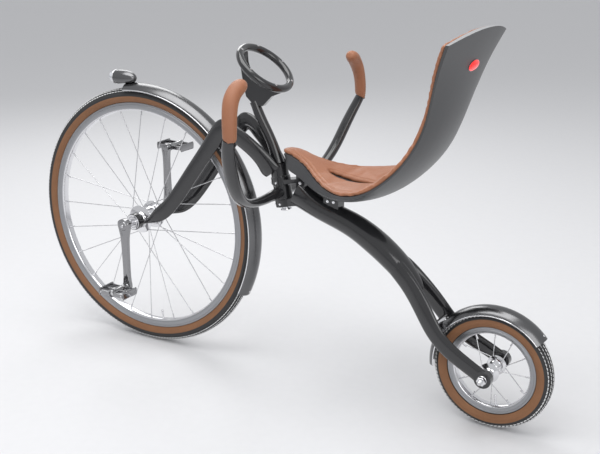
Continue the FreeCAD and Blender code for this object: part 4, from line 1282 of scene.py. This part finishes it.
def pedal(name, pin):
    """A caged pedal: barrel, end plates, toothed rails and screws, on its pin."""
    node = "pedal_" + name
    low, high = (Vector(c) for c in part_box(node))
    parts = []
    wide = high.y - low.y
    barrel = [(0.0072, 0.0), (0.0096, 0.0), (0.0102, 0.0008), (0.0102, 0.008), (0.0090, 0.0095),
              (0.0086, wide / 2), (0.0090, wide - 0.0095), (0.0102, wide - 0.008), (0.0102, wide - 0.0008),
              (0.0096, wide), (0.0072, wide)]
    parts.append(turned("barrel", [(min(r, (high.z - low.z) / 2), h) for r, h in barrel],
                        (pin.x, low.y, pin.z), (0, 1, 0), 48))
    for y in (low.y, high.y - 0.005):
        for way in (-1, 1):
            x = pin.x + way * 0.0255
            parts.append(block("end", (x - 0.0165, y, pin.z - 0.0055),
                               (x + 0.0165, y + 0.005, pin.z + 0.0055), 0.0018))
    thick = 0.004
    for x in (low.x, high.x - thick):
        parts.append(block("rail", (x, low.y, low.z + 0.0022), (x + thick, high.y, high.z - 0.0022), 0.0012))
        for k in range(PEDAL_TEETH):
            y = low.y + wide * (k + 0.5) / PEDAL_TEETH
            for z, up in ((high.z - 0.003, 1), (low.z + 0.003, -1)):
                base, tip = sorted((z, z + up * 0.003))
                parts.append(block("tooth", (x + 0.0003, y - 0.0018, base),
                                   (x + thick - 0.0003, y + 0.0018, tip), 0.0006, 1))
    for way in (-1, 1):
        x = pin.x + way * 0.019
        parts.append(block("web", (x - 0.0105, low.y + wide * 0.46, pin.z - 0.004),
                           (x + 0.0195, low.y + wide * 0.54, pin.z + 0.004), 0.0014))
    for mesh in parts:
        mesh.materials.append(PAINT["smoke"])
    link(node + "_cage", joined(node + "_cage", parts), None, node, [node])
    places = []
    for x in (pin.x - 0.034, pin.x + 0.034):
        for y, out in ((low.y, -1.0), (high.y, 1.0)):
            places.append((Vector((x, y - out * 0.0003, pin.z)), Vector((0.0, out, 0.0))))
    bolts(node + "_screws", node, places, 0.0024, PAINT["steel"])


def headlight():
    """The headlight's shell and lens, with a bezel and a reflector cup."""
    skin("headlight_shell", PAINT["guard"], "steering", 50.0)
    skin("headlight_lens", PAINT["glass"], "steering", 50.0)
    low, high = (Vector(c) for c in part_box("headlight_lens"))
    tall, wide, height = (high.z - low.z) / 2, (high.y - low.y) / 2, (high.z + low.z) / 2
    ring = [Vector((low.x, wide * math.cos(t), height + tall * math.sin(t)))
            for t in (math.radians(i * 6) for i in range(60))]
    link("headlight_bezel", hose("headlight_bezel", ring, 0.0016, 12, closed=True), PAINT["chrome"],
         "steering")
    outline = [(CORE, 0.0), (0.0040, 0.0), (0.0056, 0.0026), (0.0050, 0.0030), (0.0030, 0.0020),
               (CORE, 0.0016)]
    cup = turned("headlight_cup", outline, (low.x + 0.001, 0.0, height), (1, 0, 0), 32)
    link("headlight_cup", cup, PAINT["chrome"], "steering")


def tail_light():
    """A low wide red lens in a dark bezel, seated on the shell's back."""
    shell = surface_of(merged("seat_shell"))
    place, normal, _, _ = shell.find_nearest(centre("tail_light"))
    half = span("tail_light", 1) / 2
    up = normal.cross(LEFTWARD).normalized()
    lens = merged("tail_light")
    for v in lens.vertices:
        rise = (v.co - place).dot(up)
        v.co -= up * rise * (1.0 - LAMP_SQUASH)
    lens = smooth(subdivided(lens), 50.0)
    link("tail_light_lens", lens, PAINT["red"], "frame", ["tail_light"])
    loop = []
    for i in range(72):
        t = math.radians(i * 5)
        point = place + LEFTWARD * math.cos(t) * half + up * math.sin(t) * half * LAMP_SQUASH
        loop.append(shell.find_nearest(point)[0])
    link("tail_light_bezel", hose("tail_light_bezel", loop, 0.0013, 10, closed=True), PAINT["black"],
         "frame")


# ---------------------------------------------------------------- sizes shown in the panel

class WheelSizes(bpy.types.PropertyGroup):
    front_groups: bpy.props.IntProperty(name="Front spoke groups", default=6, min=2,
                                        description="Groups of four spokes in the front wheel")
    rear_groups: bpy.props.IntProperty(name="Rear spoke groups", default=3, min=2,
                                       description="Groups of four spokes in the rear wheel")
    spoke_radius: bpy.props.FloatProperty(name="Spoke radius", default=0.0011, unit="LENGTH",
                                          description="Half the thickness of a spoke")
    front_lean: bpy.props.FloatProperty(name="Front spoke lean", default=0.9, subtype="ANGLE",
                                        description="Angle between a front spoke's two ends")
    rear_lean: bpy.props.FloatProperty(name="Rear spoke lean", default=0.49, subtype="ANGLE",
                                       description="Angle between a rear spoke's two ends")
    nipple_length: bpy.props.FloatProperty(name="Nipple length", default=0.011, unit="LENGTH",
                                           description="Length of the nut that holds a spoke at the rim")
    tread_depth: bpy.props.FloatProperty(name="Tread depth", default=0.0006, unit="LENGTH",
                                         description="Height of the tread blocks")
    tread_pitch: bpy.props.FloatProperty(name="Tread pitch", default=0.010, unit="LENGTH",
                                         description="Distance round the tyre between tread blocks")


class SeatSizes(bpy.types.PropertyGroup):
    cell: bpy.props.FloatProperty(name="Cell size", default=0.005, unit="LENGTH",
                                  description="Cell size used to round the pad")
    stitch_pitch: bpy.props.FloatProperty(name="Stitch pitch", default=0.0052, unit="LENGTH",
                                          description="Distance between two stitches")
    thread_size: bpy.props.FloatProperty(name="Thread radius", default=0.00055, unit="LENGTH",
                                         description="Half the thickness of the thread")
    seam_depth: bpy.props.FloatProperty(name="Seam depth", default=0.0022, unit="LENGTH",
                                        description="Depth of the sewn channel")
    seam_inset: bpy.props.FloatProperty(name="Seam inset", default=0.011, unit="LENGTH",
                                        description="Distance of the seam from the pad's edge")


class BoltSizes(bpy.types.PropertyGroup):
    small: bpy.props.FloatProperty(name="Small bolt", default=0.0026, unit="LENGTH",
                                   description="Radius of the small bolt heads and rivets")
    large: bpy.props.FloatProperty(name="Large bolt", default=0.0042, unit="LENGTH",
                                   description="Radius of the large bolt heads")


class StageSizes(bpy.types.PropertyGroup):
    floor_reach: bpy.props.FloatProperty(name="Floor reach", default=30.0, unit="LENGTH",
                                         description="Half the width of the floor")
    key_power: bpy.props.FloatProperty(name="Key light", default=70.0, unit="POWER",
                                       description="Power of the large light above")
    fill_power: bpy.props.FloatProperty(name="Fill light", default=26.0, unit="POWER",
                                        description="Power of the light at the camera's side")
    lens: bpy.props.FloatProperty(name="Lens", default=60.0, description="Focal length in millimetres")


# ---------------------------------------------------------------- operators

class Step(bpy.types.Operator):
    """Shared start of every step"""
    bl_options = {"REGISTER"}

    def execute(self, context):
        ready()
        self.make(context.scene)
        return {"FINISHED"}


class CRUISER_OT_stage(Step):
    """Adds the floor, soft lights, pale surroundings and camera"""
    bl_idname = "cruiser.stage"
    bl_label = "Stage"

    def make(self, scene):
        sizes = scene.cruiser_stage
        reach = sizes.floor_reach
        mesh = bpy.data.meshes.new("floor")
        mesh.from_pydata([(-reach, -reach, FLOOR_Z), (reach, -reach, FLOOR_Z), (reach, reach, FLOOR_Z),
                          (-reach, reach, FLOOR_Z)], [], [(0, 1, 2, 3)])
        graph, feed = material("floor_paint", Specular_IOR_Level=0.2)
        speck = graph.noise(40.0, 3.0)
        pale = graph.blend(speck, rgba(0.66, 0.66, 0.67), rgba(0.69, 0.69, 0.70))
        mesh.materials.append(feed(Base_Color=pale, Roughness=0.55 + speck * 0.1))
        floor = bpy.data.objects.new("floor", mesh)
        scene.collection.objects.link(floor)
        middle = Vector((0.32, 0.0, -0.05))
        for name, place, size, power in (("key", (0.4, 0.5, 2.6), 2.6, sizes.key_power),
                                         ("fill", (-2.2, 2.2, 1.3), 2.0, sizes.fill_power),
                                         ("rim", (2.2, -1.8, 1.8), 1.6, sizes.fill_power)):
            data = bpy.data.lights.new(name, "AREA")
            data.shape = "SQUARE"
            data.size = size
            data.energy = power
            lamp = bpy.data.objects.new(name, data)
            lamp.location = place
            lamp.rotation_euler = (middle - Vector(place)).to_track_quat("-Z", "Y").to_euler()
            scene.collection.objects.link(lamp)
        world = bpy.data.worlds.new("surroundings")
        world.use_nodes = True
        world.node_tree.nodes["Background"].inputs["Color"].default_value = rgba(0.80, 0.81, 0.83)
        world.node_tree.nodes["Background"].inputs["Strength"].default_value = 0.8
        scene.world = world
        camera = bpy.data.objects.new("camera", bpy.data.cameras.new("camera"))
        camera.data.lens = sizes.lens
        camera.data.sensor_width = 36.0
        camera.location = (-0.9624, 2.0101, 0.6029)
        camera.rotation_euler = Vector((0.4848, -0.8195, -0.3058)).to_track_quat("-Z", "Y").to_euler()
        scene.collection.objects.link(camera)
        scene.camera = camera
        scene.view_settings.view_transform = "Standard"


class CRUISER_OT_tyres(Step):
    """Makes both tyres: ribbed casing, tan side walls and tread blocks"""
    bl_idname = "cruiser.tyres"
    bl_label = "Tyres"

    def make(self, scene):
        for wheel in WHEELS:
            tyre(wheel, scene.cruiser_wheels)


class CRUISER_OT_wheels(Step):
    """Makes rims, laced spokes, hubs, axle ends and valves"""
    bl_idname = "cruiser.wheels"
    bl_label = "Wheels"

    def make(self, scene):
        sizes = scene.cruiser_wheels
        lacing = ((sizes.front_groups, sizes.front_lean), (sizes.rear_groups, sizes.rear_lean))
        for wheel, (groups, lean) in zip(WHEELS, lacing):
            rim(wheel)
            hub_and_spokes(wheel, sizes, groups, lean)
        front_axle()
        rear_axle()
        rear_nut("rear_nut_left", 1)
        rear_nut("rear_nut_right", -1)


class CRUISER_OT_mudguards(Step):
    """Polishes both mudguards and adds rolled edges, bridges and rivets"""
    bl_idname = "cruiser.mudguards"
    bl_label = "Mudguards"

    def make(self, scene):
        for wheel in WHEELS:
            mudguard(wheel, scene.cruiser_bolts.small)


class CRUISER_OT_frame(Step):
    """Lacquers the frame, its blades and the head lugs, and adds bolts and washers"""
    bl_idname = "cruiser.frame"
    bl_label = "Frame"

    def make(self, scene):
        for node in ("frame_spine", "rear_blade_left", "rear_blade_right", "head_lug_upper",
                     "head_lug_lower", "seat_mount_front", "seat_mount_rear"):
            skin(node, PAINT["black"], "frame", 40.0)
        lug_bolts(scene.cruiser_bolts.large * 0.8)
        seat_bolts(scene.cruiser_bolts.large)
        head_washers()


class CRUISER_OT_steering(Step):
    """Lacquers the fork, bars, mast and display ring, and adds a nut, collars and screws"""
    bl_idname = "cruiser.steering"
    bl_label = "Steering"

    def make(self, scene):
        for node in ("bar_sleeve", "fork_crown", "fork_leg_left", "fork_leg_right", "handlebar_left",
                     "handlebar_right", "mast", "display_bracket", "display_ring"):
            skin(node, PAINT["black"], "steering", 40.0)
        skin("pivot_pin", PAINT["chrome"], "steering")
        pivot_nut()
        steering_bolts(scene.cruiser_bolts.small)
        leg_collar("left", 1)
        leg_collar("right", -1)


class CRUISER_OT_seat(Step):
    """Makes the seat shell and its swollen, stitched leather pad"""
    bl_idname = "cruiser.seat"
    bl_label = "Seat"

    def make(self, scene):
        seat_pad(seat_shell(), scene.cruiser_seat)


class CRUISER_OT_grips(Step):
    """Makes the sewn leather grips with their end collars"""
    bl_idname = "cruiser.grips"
    bl_label = "Grips"

    def make(self, scene):
        grip("left", 1, scene.cruiser_seat)
        grip("right", -1, scene.cruiser_seat)


class CRUISER_OT_cranks(Step):
    """Makes tapered crank arms, their bolts and caged pedals"""
    bl_idname = "cruiser.cranks"
    bl_label = "Cranks and pedals"

    def make(self, scene):
        crank_spindle()
        places = []
        for name, sign in (("left", 1), ("right", -1)):
            pin = joint(f"pedal_{name}_spin")[0]
            places.append(crank_arm(name, sign, pin))
            pedal_pin(name, sign, pin)
            pedal(name, pin)
        bolts("crank_bolts", "crankset", places, scene.cruiser_bolts.large * 1.1, PAINT["steel"])


class CRUISER_OT_lights(Step):
    """Finishes the headlight and tail light with bezels"""
    bl_idname = "cruiser.lights"
    bl_label = "Lights"

    def make(self, scene):
        headlight()
        tail_light()


STEPS = (CRUISER_OT_tyres, CRUISER_OT_wheels, CRUISER_OT_mudguards, CRUISER_OT_frame, CRUISER_OT_steering,
         CRUISER_OT_seat, CRUISER_OT_grips, CRUISER_OT_cranks, CRUISER_OT_lights, CRUISER_OT_stage)
SIZES = {"cruiser_wheels": WheelSizes, "cruiser_seat": SeatSizes, "cruiser_bolts": BoltSizes,
         "cruiser_stage": StageSizes}


class CRUISER_PT_panel(bpy.types.Panel):
    """Steps and sizes of the bicycle"""
    bl_label = "Cruiser bicycle"
    bl_idname = "CRUISER_PT_panel"
    bl_space_type = "VIEW_3D"
    bl_region_type = "UI"
    bl_category = "Cruiser"

    def draw(self, context):
        for step in STEPS:
            self.layout.operator(step.bl_idname)
        for name, group in SIZES.items():
            box = self.layout.box()
            for label in group.__annotations__:
                box.prop(getattr(context.scene, name), label)


def register():
    for kind in (*SIZES.values(), *STEPS, CRUISER_PT_panel):
        bpy.utils.register_class(kind)
    for name, group in SIZES.items():
        setattr(bpy.types.Scene, name, bpy.props.PointerProperty(type=group))


def unregister():
    for name in SIZES:
        delattr(bpy.types.Scene, name)
    for kind in reversed((*SIZES.values(), *STEPS, CRUISER_PT_panel)):
        bpy.utils.unregister_class(kind)


def main():
    register()
    for step in STEPS:
        group, name = step.bl_idname.split(".")
        getattr(getattr(bpy.ops, group), name)()


if __name__ == "__main__":
    main()
